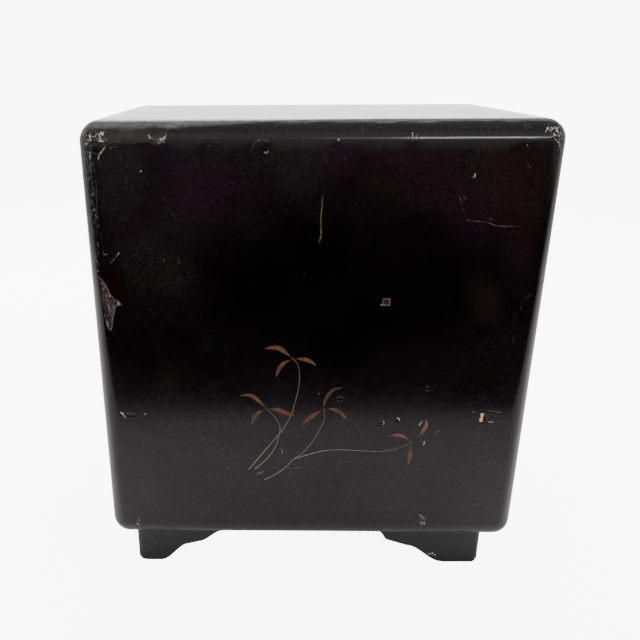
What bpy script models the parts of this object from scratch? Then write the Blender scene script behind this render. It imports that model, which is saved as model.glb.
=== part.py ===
"""Miniature tansu chest: a lacquered case with rounded edges, on a bracket base, with five drawers on ring pulls.

Metres, +Z up. The drawers face -Y, so the plain back panel faces +Y. The origin is the centre of the
footprint, pulls included, at floor level.
"""

import math

import bmesh
import bpy
from mathutils import Matrix

# Case: five boards with finger joints, rounded after assembly
CASE_WIDTH = 0.212
CASE_DEPTH = 0.140
CASE_EDGE_RADIUS = 0.009
CASE_BOARD = 0.009
BACK_PANEL = 0.009
CASE_FINGERS = 7

# Shelves and divider, housed in stopped grooves
SHELF = 0.006
SHELF_HOUSING = 0.003
DIVIDER = 0.006
DIVIDER_HOUSING = 0.002
HOUSING_STOP = 0.008

# Drawer openings, from the bottom up; with the boards and shelves they add up to the case's height
LOWER_OPENING = 0.060
MIDDLE_OPENING = 0.055
SHALLOW_OPENING = 0.031
TOP_OPENING = 0.032

# Wooden pegs through the back panel into the shelves
PEG_HEAD = 0.0034
PEG_TIP = 0.0026
PEG_LENGTH = 0.022
LOWER_PEG_INSET = 0.022
MIDDLE_PEG_INSET = 0.074
PEG_GAP = 0.0001

# Bracket base: four mitred rails with cusped feet
BASE_HEIGHT = 0.0210
BASE_SIDE_INSET = 0.0122
BASE_END_INSET = 0.007
BASE_SHIFT = 0.0009
BASE_RAIL = 0.009
BASE_CORNER_RADIUS = 0.0030
ARCH_STRIP = 0.0012
TOE_RADIUS = 0.0045

# A foot's edge, from the toe inwards: a rising wave, a sloping shoulder, then a brow up to the arch
FOOT_TOE = 0.0150
FOOT_WAVE = 0.0158
FOOT_WAVE_RISE = 0.0110
FOOT_SHOULDER = 0.0050
FOOT_SHOULDER_RISE = 0.0014
FOOT_BROW = 0.0140

# The back rail's feet differ, as cut by hand: one is narrow, the other broad with a long shoulder
NARROW_TOE = 0.0128
BROAD_TOE = 0.0195
BROAD_WAVE = 0.0210
BROAD_SHOULDER = 0.0100
BROAD_SHOULDER_RISE = 0.0034
BROAD_BROW = 0.0050

# Drawers
DRAWER_REVEAL = 0.0006
DRAWER_FRONT = 0.008
DRAWER_FRONT_LAP = 0.0035
DRAWER_FRONT_EDGE = 0.0008
DRAWER_SIDE = 0.0045
DRAWER_BACK = 0.0045
DRAWER_BOTTOM = 0.003
DRAWER_SIDE_DROP = 0.0015
DRAWER_STOP_GAP = 0.0008
DRAWER_FINGER_PITCH = 0.0095

# Ring pulls
RING_RADIUS = 0.0070
RING_WIRE_RADIUS = 0.0009
EYE_CLEARANCE = 0.0005
EYE_WALL = 0.0008
POST_WIDTH = 0.0022
POST_LEG = 0.0007
LEG_SPREAD = 0.0070
LEG_HOLE_CLEARANCE = 0.0003
PLATE_RADIUS = 0.0060
PLATE_DOME = 0.0010
PLATE_RIM = 0.0005
PLATE_RIM_WIDTH = 0.0009
PULL_RISE = 0.0055

# Clearances and construction values
JOINT_GAP = 0.0003
OVERRUN = 0.002
WELD = 0.000001

# Facet counts
CASE_EDGE_SEGMENTS = 6
DRAWER_EDGE_SEGMENTS = 2
ARC_STEPS = 6
WAVE_STEPS = 8
EYE_STEPS = 20
PLATE_STEPS = 28
RING_STEPS = 36
WIRE_STEPS = 10
HOLE_STEPS = 16
SMOOTH_ANGLE = math.radians(38)

# Places worked out from the sizes above
eye_hole_radius = RING_WIRE_RADIUS + EYE_CLEARANCE
eye_radius = eye_hole_radius + EYE_WALL
eye_offset = JOINT_GAP + PLATE_DOME + JOINT_GAP + eye_radius
pull_projection = eye_offset + eye_radius
leg_hole_radius = math.hypot(POST_WIDTH / 2, POST_LEG) + LEG_HOLE_CLEARANCE

front_y = -(CASE_DEPTH - pull_projection) / 2
back_y = front_y + CASE_DEPTH
middle_y = (front_y + back_y) / 2
rear_y = back_y - BACK_PANEL - JOINT_GAP
arch_height = BASE_HEIGHT - ARCH_STRIP
side_x = CASE_WIDTH / 2
inner_x = side_x - CASE_BOARD
housing_y = front_y + HOUSING_STOP

bottom_z = BASE_HEIGHT
lower_floor = bottom_z + CASE_BOARD
lower_shelf_z = lower_floor + LOWER_OPENING
middle_floor = lower_shelf_z + SHELF
middle_shelf_z = middle_floor + MIDDLE_OPENING
shallow_floor = middle_shelf_z + SHELF
upper_shelf_z = shallow_floor + SHALLOW_OPENING
top_floor = upper_shelf_z + SHELF
ceiling_z = top_floor + TOP_OPENING
top_z = ceiling_z + CASE_BOARD

# How an outline's two directions and its thickness lie in space
FLAT = Matrix.Identity(4)
UPRIGHT_ACROSS = Matrix(((1, 0, 0, 0), (0, 0, -1, 0), (0, 1, 0, 0), (0, 0, 0, 1)))
UPRIGHT_ALONG = Matrix(((0, 0, 1, 0), (1, 0, 0, 0), (0, 1, 0, 0), (0, 0, 0, 1)))


def clear_scene():
    for obj in list(bpy.data.objects):
        bpy.data.objects.remove(obj, do_unlink=True)


def new_collection(name):
    made = bpy.data.collections.new(name)
    bpy.context.scene.collection.children.link(made)
    return made


def finish(name, colour, roughness, metallic=0.0):
    """A Principled material."""
    made = bpy.data.materials.new(name)
    made.use_nodes = True
    shader = made.node_tree.nodes["Principled BSDF"]
    shader.inputs["Base Color"].default_value = (*colour, 1.0)
    shader.inputs["Roughness"].default_value = roughness
    shader.inputs["Metallic"].default_value = metallic
    return made


def add_part(name, mesh, material, parent=None):
    """Puts a mesh in the chest's collection as a named piece."""
    part = bpy.data.objects.new(name, mesh)
    mesh.materials.clear()
    mesh.materials.append(material)
    parts.objects.link(part)
    part.parent = parent
    return part


def add_cutter(name, mesh, parent=None):
    """Puts a mesh in the cutters' collection, out of every render."""
    cutter = bpy.data.objects.new(name, mesh)
    cutters.objects.link(cutter)
    cutter.parent = parent
    cutter.hide_render = True
    cutter.display_type = "WIRE"
    return cutter


def boolean(target, other, operation="DIFFERENCE"):
    modifier = target.modifiers.new(other.name, "BOOLEAN")
    modifier.operation = operation
    modifier.object = other
    modifier.solver = "EXACT"


def soften(mesh):
    mesh.shade_smooth()
    mesh.set_sharp_from_angle(angle=SMOOTH_ANGLE)


def add_frame(name, place, turn=0.0, parent=None):
    """An empty that carries pieces: on a moving piece it lies on the joint's axis."""
    frame = bpy.data.objects.new(name, None)
    parts.objects.link(frame)
    frame.empty_display_size = CASE_BOARD
    frame.location = place
    frame.rotation_euler = (0, 0, turn)
    frame.parent = parent
    return frame


def add_box(made, low, high):
    """Adds a box between two corners, which may come in either order."""
    size = [abs(b - a) for a, b in zip(low, high)]
    centre = [(a + b) / 2 for a, b in zip(low, high)]
    box = bmesh.ops.create_cube(made, size=1)["verts"]
    bmesh.ops.scale(made, vec=size, verts=box)
    bmesh.ops.translate(made, vec=centre, verts=box)


def box_mesh(name, low, high):
    made = bmesh.new()
    add_box(made, low, high)
    mesh = bpy.data.meshes.new(name)
    made.to_mesh(mesh)
    made.free()
    return mesh


def cut_boxes(target, name, boxes, parent=None):
    """Cuts one or more boxes, which stay clear of each other, out of a piece."""
    made = bmesh.new()
    for low, high in boxes:
        add_box(made, low, high)
    mesh = bpy.data.meshes.new(name)
    made.to_mesh(mesh)
    made.free()
    boolean(target, add_cutter(name, mesh, parent))


def round_edges(part, radius, segments, weighted=False):
    """Rounds every edge of a piece, or only those with a bevel weight."""
    modifier = part.modifiers.new("rounded_edges", "BEVEL")
    modifier.width = radius
    modifier.segments = segments
    modifier.limit_method = "WEIGHT" if weighted else "NONE"


def cylinder_mesh(name, radius, length, place, steps):
    """A cylinder along Y, centred on place."""
    made = bmesh.new()
    bmesh.ops.create_cone(
        made,
        cap_ends=True,
        segments=steps,
        radius1=radius,
        radius2=radius,
        depth=length,
        matrix=Matrix.Translation(place) @ Matrix.Rotation(math.pi / 2, 4, "X"),
    )
    mesh = bpy.data.meshes.new(name)
    made.to_mesh(mesh)
    made.free()
    return mesh


def outline_mesh(name, loops, low, high, lie):
    """A flat outline, with any holes as further loops, extruded from low to high across its plane."""
    curve = bpy.data.curves.new(name, "CURVE")
    curve.dimensions = "2D"
    curve.fill_mode = "BOTH"
    curve.extrude = (high - low) / 2
    for loop in loops:
        spline = curve.splines.new("POLY")
        spline.points.add(len(loop) - 1)
        for point, (u, v) in zip(spline.points, loop):
            point.co = (u, v, 0, 1)
        spline.use_cyclic_u = True
    holder = bpy.data.objects.new(name, curve)
    cutters.objects.link(holder)
    bpy.context.view_layer.update()
    graph = bpy.context.evaluated_depsgraph_get()
    mesh = bpy.data.meshes.new_from_object(holder.evaluated_get(graph))
    bpy.data.objects.remove(holder)
    welded = bmesh.new()
    welded.from_mesh(mesh)
    bmesh.ops.remove_doubles(welded, verts=welded.verts, dist=WELD)
    welded.to_mesh(mesh)
    welded.free()
    mesh.transform(lie @ Matrix.Translation((0, 0, (low + high) / 2)))
    return mesh


def arc(centre, radius, start, stop, steps=ARC_STEPS):
    """Points on an arc between two angles in degrees, both ends included."""
    angles = [math.radians(start + (stop - start) * i / steps) for i in range(steps + 1)]
    return [(centre[0] + radius * math.cos(a), centre[1] + radius * math.sin(a)) for a in angles]


def finger_notches(start, stop, count, first):
    """The notches of a finger joint, every second one of count from first, as ranges along the joint."""
    pitch = (stop - start) / count
    notches = []
    for i in range(first, count, 2):
        low = start + pitch * i - (JOINT_GAP / 2 if i else OVERRUN)
        high = start + pitch * (i + 1) + (JOINT_GAP / 2 if i < count - 1 else OVERRUN)
        notches.append((low, high))
    return notches


def mirrored(points):
    return [(-u, v) for u, v in points]


# Case


def make_blank():
    """The whole case as one rounded block, which every case board is cut from."""
    low = (-side_x, front_y, bottom_z)
    high = (side_x, back_y, top_z)
    blank = add_cutter("case_blank", box_mesh("case_blank", low, high))
    round_edges(blank, CASE_EDGE_RADIUS, CASE_EDGE_SEGMENTS)
    return blank


def case_board(name, blank, low, high):
    board = add_part(name, box_mesh(name, low, high), lacquer)
    boolean(board, blank, "INTERSECT")
    return board


def flat_board(name, blank, low_z, high_z):
    """The top or bottom board: its ends carry the outer fingers of the case's joints."""
    outer_x = side_x + OVERRUN
    low = (-outer_x, front_y - OVERRUN, low_z)
    board = case_board(name, blank, low, (outer_x, rear_y, high_z))
    notches = []
    for near, far in finger_notches(front_y, rear_y, CASE_FINGERS, 1):
        for side in (-1, 1):
            corner = (side * (inner_x - JOINT_GAP), near, low_z - OVERRUN)
            notches.append((corner, (side * outer_x, far, high_z + OVERRUN)))
    cut_boxes(board, f"{name}_notches", notches)
    return board


def side_board(name, blank, side):
    """A side board: its fingers fill the notches of the top and bottom boards, and it holds the shelves."""
    outer_x = side * (side_x + OVERRUN)
    low = (side * inner_x, front_y - OVERRUN, bottom_z - OVERRUN)
    board = case_board(name, blank, low, (outer_x, rear_y, top_z + OVERRUN))
    levels = (
        (bottom_z - OVERRUN, lower_floor + JOINT_GAP),
        (ceiling_z - JOINT_GAP, top_z + OVERRUN),
    )
    notches = []
    for near, far in finger_notches(front_y, rear_y, CASE_FINGERS, 0):
        for low_z, high_z in levels:
            corner = (side * (inner_x - OVERRUN), near, low_z)
            notches.append((corner, (outer_x + side * OVERRUN, far, high_z)))
    cut_boxes(board, f"{name}_notches", notches)

    grooves = []
    for _, shelf_z in shelf_levels:
        corner = (side * (inner_x - OVERRUN), housing_y, shelf_z - JOINT_GAP)
        deep_x = side * (inner_x + SHELF_HOUSING)
        grooves.append((corner, (deep_x, rear_y + OVERRUN, shelf_z + SHELF + JOINT_GAP)))
    cut_boxes(board, f"{name}_grooves", grooves)


def peg_mesh(name, place, gap=0.0, overrun=0.0):
    """A square tapered peg, driven in along -Y from the back panel's face. Its hole is wider by the gap."""
    made = bmesh.new()
    taper = (PEG_HEAD - PEG_TIP) / PEG_LENGTH
    tip = PEG_TIP + 2 * gap
    head = PEG_HEAD + 2 * gap + taper * overrun
    length = PEG_LENGTH + gap + overrun
    half_diagonal = math.sqrt(2) / 2
    bmesh.ops.create_cone(
        made,
        cap_ends=True,
        segments=4,
        radius1=tip * half_diagonal,
        radius2=head * half_diagonal,
        depth=length,
        matrix=Matrix.Rotation(-math.pi / 2, 4, "X") @ Matrix.Rotation(math.pi / 4, 4, "Z"),
    )
    x, z = place
    bmesh.ops.translate(made, vec=(x, back_y + overrun - length / 2, z), verts=made.verts)
    mesh = bpy.data.meshes.new(name)
    made.to_mesh(mesh)
    made.free()
    return mesh


def peg(name, place, holed):
    """A peg and its hole through each piece that it passes through."""
    add_part(name, peg_mesh(name, place), peg_wood)
    hole = add_cutter(f"{name}_hole", peg_mesh(f"{name}_hole", place, PEG_GAP, OVERRUN))
    for piece in holed:
        boolean(piece, hole)


def shelf(name, floor_z):
    """A shelf whose ends sit in the grooves, notched where the grooves stop short of the front."""
    wide = inner_x + SHELF_HOUSING - JOINT_GAP
    low = (-wide, front_y, floor_z)
    board = add_part(name, box_mesh(name, low, (wide, rear_y, floor_z + SHELF)), lacquer)
    corners = []
    for side in (-1, 1):
        corner = (side * (inner_x - JOINT_GAP), front_y - OVERRUN, floor_z - OVERRUN)
        far = (side * (wide + OVERRUN), housing_y + JOINT_GAP, floor_z + SHELF + OVERRUN)
        corners.append((corner, far))
    cut_boxes(board, f"{name}_corners", corners)
    return board


def divider_piece(upper_shelf, top_board):
    """The upright between the two top drawers, with a stopped tongue above and below."""
    half = DIVIDER / 2
    tongue = DIVIDER_HOUSING - JOINT_GAP
    low = (-half, front_y, top_floor - tongue)
    mesh = box_mesh("drawer_divider", low, (half, rear_y, ceiling_z + tongue))
    divider = add_part("drawer_divider", mesh, lacquer)
    corners = []
    for shoulder, outwards in ((top_floor, -1), (ceiling_z, 1)):
        corner = (-half - OVERRUN, front_y - OVERRUN, shoulder - outwards * JOINT_GAP)
        end_z = shoulder + outwards * (DIVIDER_HOUSING + OVERRUN)
        corners.append((corner, (half + OVERRUN, housing_y + JOINT_GAP, end_z)))
    cut_boxes(divider, "drawer_divider_corners", corners)
    for board, face_z, inwards in ((upper_shelf, top_floor, -1), (top_board, ceiling_z, 1)):
        corner = (-half - JOINT_GAP, housing_y, face_z - inwards * OVERRUN)
        deep_z = face_z + inwards * DIVIDER_HOUSING
        groove = (corner, (half + JOINT_GAP, rear_y + OVERRUN, deep_z))
        cut_boxes(board, f"{board.name}_divider_groove", [groove])


def make_case():
    blank = make_blank()
    top_board = flat_board("top_board", blank, ceiling_z, top_z + OVERRUN)
    flat_board("bottom_board", blank, bottom_z - OVERRUN, lower_floor)
    side_board("left_side", blank, -1)
    side_board("right_side", blank, 1)

    outer_x = side_x + OVERRUN
    low = (-outer_x, back_y - BACK_PANEL, bottom_z - OVERRUN)
    back_panel = case_board("back_panel", blank, low, (outer_x, back_y + OVERRUN, top_z + OVERRUN))

    shelves = {name: shelf(name, floor_z) for name, floor_z in shelf_levels}
    divider_piece(shelves["upper_shelf"], top_board)

    rows = (("lower", LOWER_PEG_INSET, lower_shelf_z), ("middle", MIDDLE_PEG_INSET, middle_shelf_z))
    for row, inset, shelf_z in rows:
        for side, sign in (("left", -1), ("right", 1)):
            place = (sign * (side_x - inset), shelf_z + SHELF / 2)
            peg(f"peg_{row}_{side}", place, (back_panel, shelves[f"{row}_shelf"]))


# Base


def foot_edge(toe, wave, shoulder, shoulder_rise, brow):
    """The inner edge of a foot, from its toe up to the arch: two waves with a sloping shoulder between."""
    shoulder_low = (toe + wave, FOOT_WAVE_RISE)
    shoulder_high = (shoulder_low[0] + shoulder, FOOT_WAVE_RISE + shoulder_rise)
    arch = (shoulder_high[0] + brow, arch_height)
    points = []
    for (u0, v0), (u1, v1) in (((toe, 0), shoulder_low), (shoulder_high, arch)):
        for i in range(WAVE_STEPS + 1):
            share = i / WAVE_STEPS
            rise = (1 - math.cos(math.pi * share)) / 2
            points.append((u0 + (u1 - u0) * share, v0 + (v1 - v0) * rise))
    return points


def rail_elevation(half_length, feet):
    """The rail seen from outside: two feet, each with a rounded toe corner, and the arch between them."""
    left, right = feet
    height = BASE_HEIGHT - JOINT_GAP
    rounded = arc((TOE_RADIUS, TOE_RADIUS), TOE_RADIUS, 180, 270)
    left_foot = [(u - half_length, v) for u, v in rounded + foot_edge(*left)]
    right_foot = [(half_length - u, v) for u, v in rounded + foot_edge(*right)]
    return [(-half_length, height)] + left_foot + list(reversed(right_foot)) + [(half_length, height)]


def rail_plan(half_length):
    """The rail seen from above: mitred ends and rounded outer corners."""
    slip = JOINT_GAP / math.sqrt(2)
    centre = (half_length - BASE_CORNER_RADIUS, BASE_CORNER_RADIUS)
    corner = arc(centre, BASE_CORNER_RADIUS, 270, 315)
    right = corner + [(half_length - BASE_RAIL, BASE_RAIL)]
    right = [(u - slip, v) for u, v in right]
    return right + list(reversed(mirrored(right)))


def base_rail(name, half_length, place, turn, feet):
    """One rail in its own frame: x along it, y inwards from its outer face, z up from the floor."""
    frame = add_frame(f"{name}_frame", place, turn)
    elevation = [rail_elevation(half_length, feet)]
    mesh = outline_mesh(name, elevation, -BASE_RAIL - OVERRUN, OVERRUN, UPRIGHT_ACROSS)
    rail = add_part(name, mesh, base_lacquer, frame)
    plan = outline_mesh(f"{name}_plan", [rail_plan(half_length)], -OVERRUN, BASE_HEIGHT, FLAT)
    boolean(rail, add_cutter(plan.name, plan, frame), "INTERSECT")


def make_base():
    half_x = side_x - BASE_SIDE_INSET
    half_y = CASE_DEPTH / 2 - BASE_END_INSET
    foot = (FOOT_TOE, FOOT_WAVE, FOOT_SHOULDER, FOOT_SHOULDER_RISE, FOOT_BROW)
    narrow = (NARROW_TOE, FOOT_WAVE, FOOT_SHOULDER, FOOT_SHOULDER_RISE, FOOT_BROW)
    broad = (BROAD_TOE, BROAD_WAVE, BROAD_SHOULDER, BROAD_SHOULDER_RISE, BROAD_BROW)
    front = (BASE_SHIFT, middle_y - half_y, 0)
    back = (BASE_SHIFT, middle_y + half_y, 0)
    right = (BASE_SHIFT + half_x, middle_y, 0)
    left = (BASE_SHIFT - half_x, middle_y, 0)
    base_rail("base_front_rail", half_x, front, 0, (foot, foot))
    base_rail("base_back_rail", half_x, back, math.pi, (narrow, broad))
    base_rail("base_right_rail", half_y, right, math.pi / 2, (foot, foot))
    base_rail("base_left_rail", half_y, left, -math.pi / 2, (foot, foot))


# Drawers, each in the frame of its slide: x across, y inwards, z up from the floor of its opening


def odd_count(length):
    """How many fingers a joint of this length has: an odd number, three at least."""
    return max(3, 2 * round(length / DRAWER_FINGER_PITCH / 2) + 1)


def drawer_front(name, half, height, frame, pull_z):
    """The lacquered front, rebated behind for the sides and the bottom, with the pull's hole."""
    ceiling = height - DRAWER_REVEAL
    mesh = box_mesh(f"{name}_front", (-half, 0, DRAWER_REVEAL), (half, DRAWER_FRONT, ceiling))
    front = add_part(mesh.name, mesh, lacquer, frame)
    weights = mesh.attributes.new("bevel_weight_edge", "FLOAT", "EDGE")
    for edge, weight in zip(mesh.edges, weights.data):
        on_face = all(mesh.vertices[i].co.y < DRAWER_FRONT_EDGE for i in edge.vertices)
        weight.value = 1 if on_face else 0
    round_edges(front, DRAWER_FRONT_EDGE, DRAWER_EDGE_SEGMENTS, weighted=True)
    side_rebate = half - DRAWER_SIDE - JOINT_GAP
    bottom_rebate = JOINT_GAP + DRAWER_BOTTOM + JOINT_GAP
    rebates = (
        ("left", -half - OVERRUN, -side_rebate, height),
        ("right", side_rebate, half + OVERRUN, height),
        ("bottom", -half - OVERRUN, half + OVERRUN, bottom_rebate),
    )
    for where, low_x, high_x, high_z in rebates:
        rebate = ((low_x, DRAWER_FRONT_LAP, -OVERRUN), (high_x, DRAWER_FRONT + OVERRUN, high_z))
        cut_boxes(front, f"{name}_front_{where}_rebate", [rebate], frame)
    hole = cylinder_mesh(
        f"{name}_pull_hole",
        leg_hole_radius,
        DRAWER_FRONT + OVERRUN * 2,
        (0, DRAWER_FRONT / 2, pull_z),
        HOLE_STEPS,
    )
    boolean(front, add_cutter(hole.name, hole, frame))


def drawer_box(name, half, height, length, frame):
    """The sides, back and bottom: fingers join the back corners, and the bottom lies under the rest."""
    floor = JOINT_GAP + DRAWER_BOTTOM + JOINT_GAP
    ceiling = height - DRAWER_REVEAL - DRAWER_SIDE_DROP
    start = DRAWER_FRONT_LAP + JOINT_GAP
    count = odd_count(ceiling - floor)
    inner_rear = length - DRAWER_BACK - JOINT_GAP
    inner_side = half - DRAWER_SIDE - JOINT_GAP

    for where, side in (("left", -1), ("right", 1)):
        low = (side * (half - DRAWER_SIDE), start, floor)
        mesh = box_mesh(f"{name}_{where}", low, (side * half, length, ceiling))
        board = add_part(mesh.name, mesh, drawer_wood, frame)
        notches = []
        for low_z, high_z in finger_notches(floor, ceiling, count, 1):
            corner = (side * (inner_side - OVERRUN), inner_rear, low_z)
            notches.append((corner, (side * (half + OVERRUN), length + OVERRUN, high_z)))
        cut_boxes(board, f"{mesh.name}_notches", notches, frame)

    low = (-half, length - DRAWER_BACK, floor)
    mesh = box_mesh(f"{name}_back", low, (half, length, ceiling))
    board = add_part(mesh.name, mesh, drawer_wood, frame)
    notches = []
    for low_z, high_z in finger_notches(floor, ceiling, count, 0):
        for side in (-1, 1):
            corner = (side * inner_side, inner_rear - OVERRUN, low_z)
            notches.append((corner, (side * (half + OVERRUN), length + OVERRUN, high_z)))
    cut_boxes(board, f"{mesh.name}_notches", notches, frame)

    bottom_high = (half, length, JOINT_GAP + DRAWER_BOTTOM)
    mesh = box_mesh(f"{name}_bottom", (-half, start, JOINT_GAP), bottom_high)
    add_part(mesh.name, mesh, drawer_wood, frame)


def pull_plate(name, frame, pull_z):
    """A turned washer with a flat rim and a low dome, round the post's hole."""
    dome_width = PLATE_RADIUS - PLATE_RIM_WIDTH - leg_hole_radius
    dome_rise = PLATE_DOME - PLATE_RIM
    profile = []
    for i in range(ARC_STEPS + 1):
        share = i / ARC_STEPS
        r = leg_hole_radius + dome_width * share
        profile.append((r, PLATE_RIM + dome_rise * math.cos(share * math.pi / 2)))
    profile += [(PLATE_RADIUS, PLATE_RIM), (PLATE_RADIUS, 0), (leg_hole_radius, 0)]
    mesh = bpy.data.meshes.new(name)
    edges = [(i, (i + 1) % len(profile)) for i in range(len(profile))]
    mesh.from_pydata([(r, 0, h) for r, h in profile], edges, [])
    plate = add_part(name, mesh, brass, frame)
    plate.location = (0, -JOINT_GAP, pull_z)
    plate.rotation_euler = (math.pi / 2, 0, 0)
    screw = plate.modifiers.new("turn", "SCREW")
    screw.steps = PLATE_STEPS
    screw.render_steps = PLATE_STEPS
    screw.use_merge_vertices = True
    screw.merge_threshold = WELD
    screw.use_smooth_shade = True


def pull_post(name, frame, pull_z):
    """A split pin: an eye in front, two legs through the drawer front, clinched up and down behind it."""
    eye = (-eye_offset, 0)
    behind = DRAWER_FRONT + JOINT_GAP
    opening = math.degrees(math.asin(POST_LEG / eye_radius))
    outer = arc(eye, eye_radius, opening, 360 - opening, EYE_STEPS)
    legs = [
        (behind, -POST_LEG),
        (behind, -LEG_SPREAD),
        (behind + POST_LEG, -LEG_SPREAD),
        (behind + POST_LEG, LEG_SPREAD),
        (behind, LEG_SPREAD),
        (behind, POST_LEG),
    ]
    hole = arc(eye, eye_hole_radius, 0, 360, EYE_STEPS)[:-1]
    half = POST_WIDTH / 2
    mesh = outline_mesh(name, [outer + legs, hole], -half, half, UPRIGHT_ALONG)
    soften(mesh)
    post = add_part(name, mesh, brass, frame)
    post.location = (0, 0, pull_z)


def pull_ring(name, frame, pull_z):
    """A wire ring through the eye. Its own origin is the hinge's axis, at the middle of the eye."""
    bpy.ops.mesh.primitive_torus_add(
        major_radius=RING_RADIUS,
        minor_radius=RING_WIRE_RADIUS,
        major_segments=RING_STEPS,
        minor_segments=WIRE_STEPS,
    )
    made = bpy.context.object
    mesh = made.data
    bpy.data.objects.remove(made)
    hang = Matrix.Translation((0, 0, -RING_RADIUS))
    mesh.transform(hang @ Matrix.Rotation(math.pi / 2, 4, "X"))
    soften(mesh)
    axis = add_frame(f"{name}_axis", (0, -eye_offset, pull_z), parent=frame)
    add_part(name, mesh, brass, axis)


def make_drawer(name, low_x, high_x, floor_z, height):
    centre_x = (low_x + high_x) / 2
    half = (high_x - low_x) / 2 - DRAWER_REVEAL
    length = rear_y + JOINT_GAP - front_y - DRAWER_STOP_GAP
    pull_z = height / 2 + PULL_RISE
    frame = add_frame(f"{name}_slide", (centre_x, front_y, floor_z))
    drawer_front(name, half, height, frame, pull_z)
    drawer_box(name, half, height, length, frame)
    pull_plate(f"{name}_pull_plate", frame, pull_z)
    pull_post(f"{name}_pull_post", frame, pull_z)
    pull_ring(f"{name}_pull_ring", frame, pull_z)


def make_drawers():
    half = DIVIDER / 2
    make_drawer("drawer_top_left", -inner_x, -half, top_floor, TOP_OPENING)
    make_drawer("drawer_top_right", half, inner_x, top_floor, TOP_OPENING)
    make_drawer("drawer_shallow", -inner_x, inner_x, shallow_floor, SHALLOW_OPENING)
    make_drawer("drawer_middle", -inner_x, inner_x, middle_floor, MIDDLE_OPENING)
    make_drawer("drawer_lower", -inner_x, inner_x, lower_floor, LOWER_OPENING)


shelf_levels = (
    ("lower_shelf", lower_shelf_z),
    ("middle_shelf", middle_shelf_z),
    ("upper_shelf", upper_shelf_z),
)

clear_scene()
parts = new_collection("miniature_tansu_chest")
cutters = new_collection("cutters")
lacquer = finish("black_lacquer", (0.018, 0.014, 0.016), 0.22)
base_lacquer = finish("base_lacquer", (0.022, 0.019, 0.019), 0.35)
drawer_wood = finish("drawer_wood", (0.46, 0.31, 0.18), 0.65)
peg_wood = finish("peg_wood", (0.55, 0.33, 0.17), 0.6)
brass = finish("aged_brass", (0.42, 0.29, 0.11), 0.38, 1.0)
make_case()
make_base()
make_drawers()
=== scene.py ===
"""The miniature tansu chest dressed for the photograph: lacquer coat with its wear, gold sprigs, wood and brass.

Metres, +Z up, in the CAD's frame. The photograph shows the back, which faces +Y, so the photograph's left is +X.
"""
import math

import bmesh
import bpy
import numpy as np
from mathutils import Matrix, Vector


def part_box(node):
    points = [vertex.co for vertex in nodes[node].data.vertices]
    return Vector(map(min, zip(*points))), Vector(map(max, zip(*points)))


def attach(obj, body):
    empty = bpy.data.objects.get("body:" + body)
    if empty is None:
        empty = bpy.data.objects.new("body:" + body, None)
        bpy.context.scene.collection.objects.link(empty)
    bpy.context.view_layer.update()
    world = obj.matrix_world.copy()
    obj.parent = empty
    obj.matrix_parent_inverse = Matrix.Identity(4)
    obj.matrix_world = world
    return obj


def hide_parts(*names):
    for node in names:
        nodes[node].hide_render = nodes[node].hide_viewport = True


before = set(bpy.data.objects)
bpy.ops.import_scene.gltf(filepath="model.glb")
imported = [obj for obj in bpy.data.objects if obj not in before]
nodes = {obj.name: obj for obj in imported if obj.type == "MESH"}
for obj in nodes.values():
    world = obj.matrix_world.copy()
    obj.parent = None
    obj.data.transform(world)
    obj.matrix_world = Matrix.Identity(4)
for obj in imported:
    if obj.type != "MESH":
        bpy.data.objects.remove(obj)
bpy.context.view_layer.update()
scene = bpy.context.scene

MM = 0.001

# The case as the CAD has it
CASE_CENTRE = np.array((0.0, 0.003, 0.128))
CASE_HALF = np.array((0.106, 0.07, 0.107))
CASE_RADIUS = 0.009
BACK_Y = 0.073
OPENING_X = 0.097
OPENING_Z = (0.03, 0.226)
OPEN_PEGS = ((-0.084, 0.093), (-0.032, 0.154))

# The lacquer coat over it
COAT = 0.00025
COAT_LIFT = 0.00002
PEG_HALF = 0.0019
BACK_FACE_REACH = 0.0615

DRAWERS = ("drawer_top_left", "drawer_top_right", "drawer_shallow", "drawer_middle", "drawer_lower")
RING_RADIUS = 0.007


def pull_place(drawer):
    """Where a drawer's ring turns, as x and z: the middle of its plate."""
    low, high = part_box(f"{drawer}_pull_plate")
    return (low[0] + high[0]) / 2, (low[2] + high[2]) / 2


PULLS = {drawer: pull_place(drawer) for drawer in DRAWERS}

# Shading --------------------


class Value:
    """What a node gives. Sums, differences and products of values are Math nodes."""

    def __init__(self, shading, socket):
        self.shading, self.socket = shading, socket

    def __add__(self, other):
        return self.shading.math("ADD", self, other)

    def __sub__(self, other):
        return self.shading.math("SUBTRACT", self, other)

    def __mul__(self, other):
        return self.shading.math("MULTIPLY", self, other)

    def __rsub__(self, other):
        return self.shading.math("SUBTRACT", other, self)

    def __abs__(self):
        return self.shading.math("ABSOLUTE", self)

    __radd__, __rmul__ = __add__, __mul__


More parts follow.
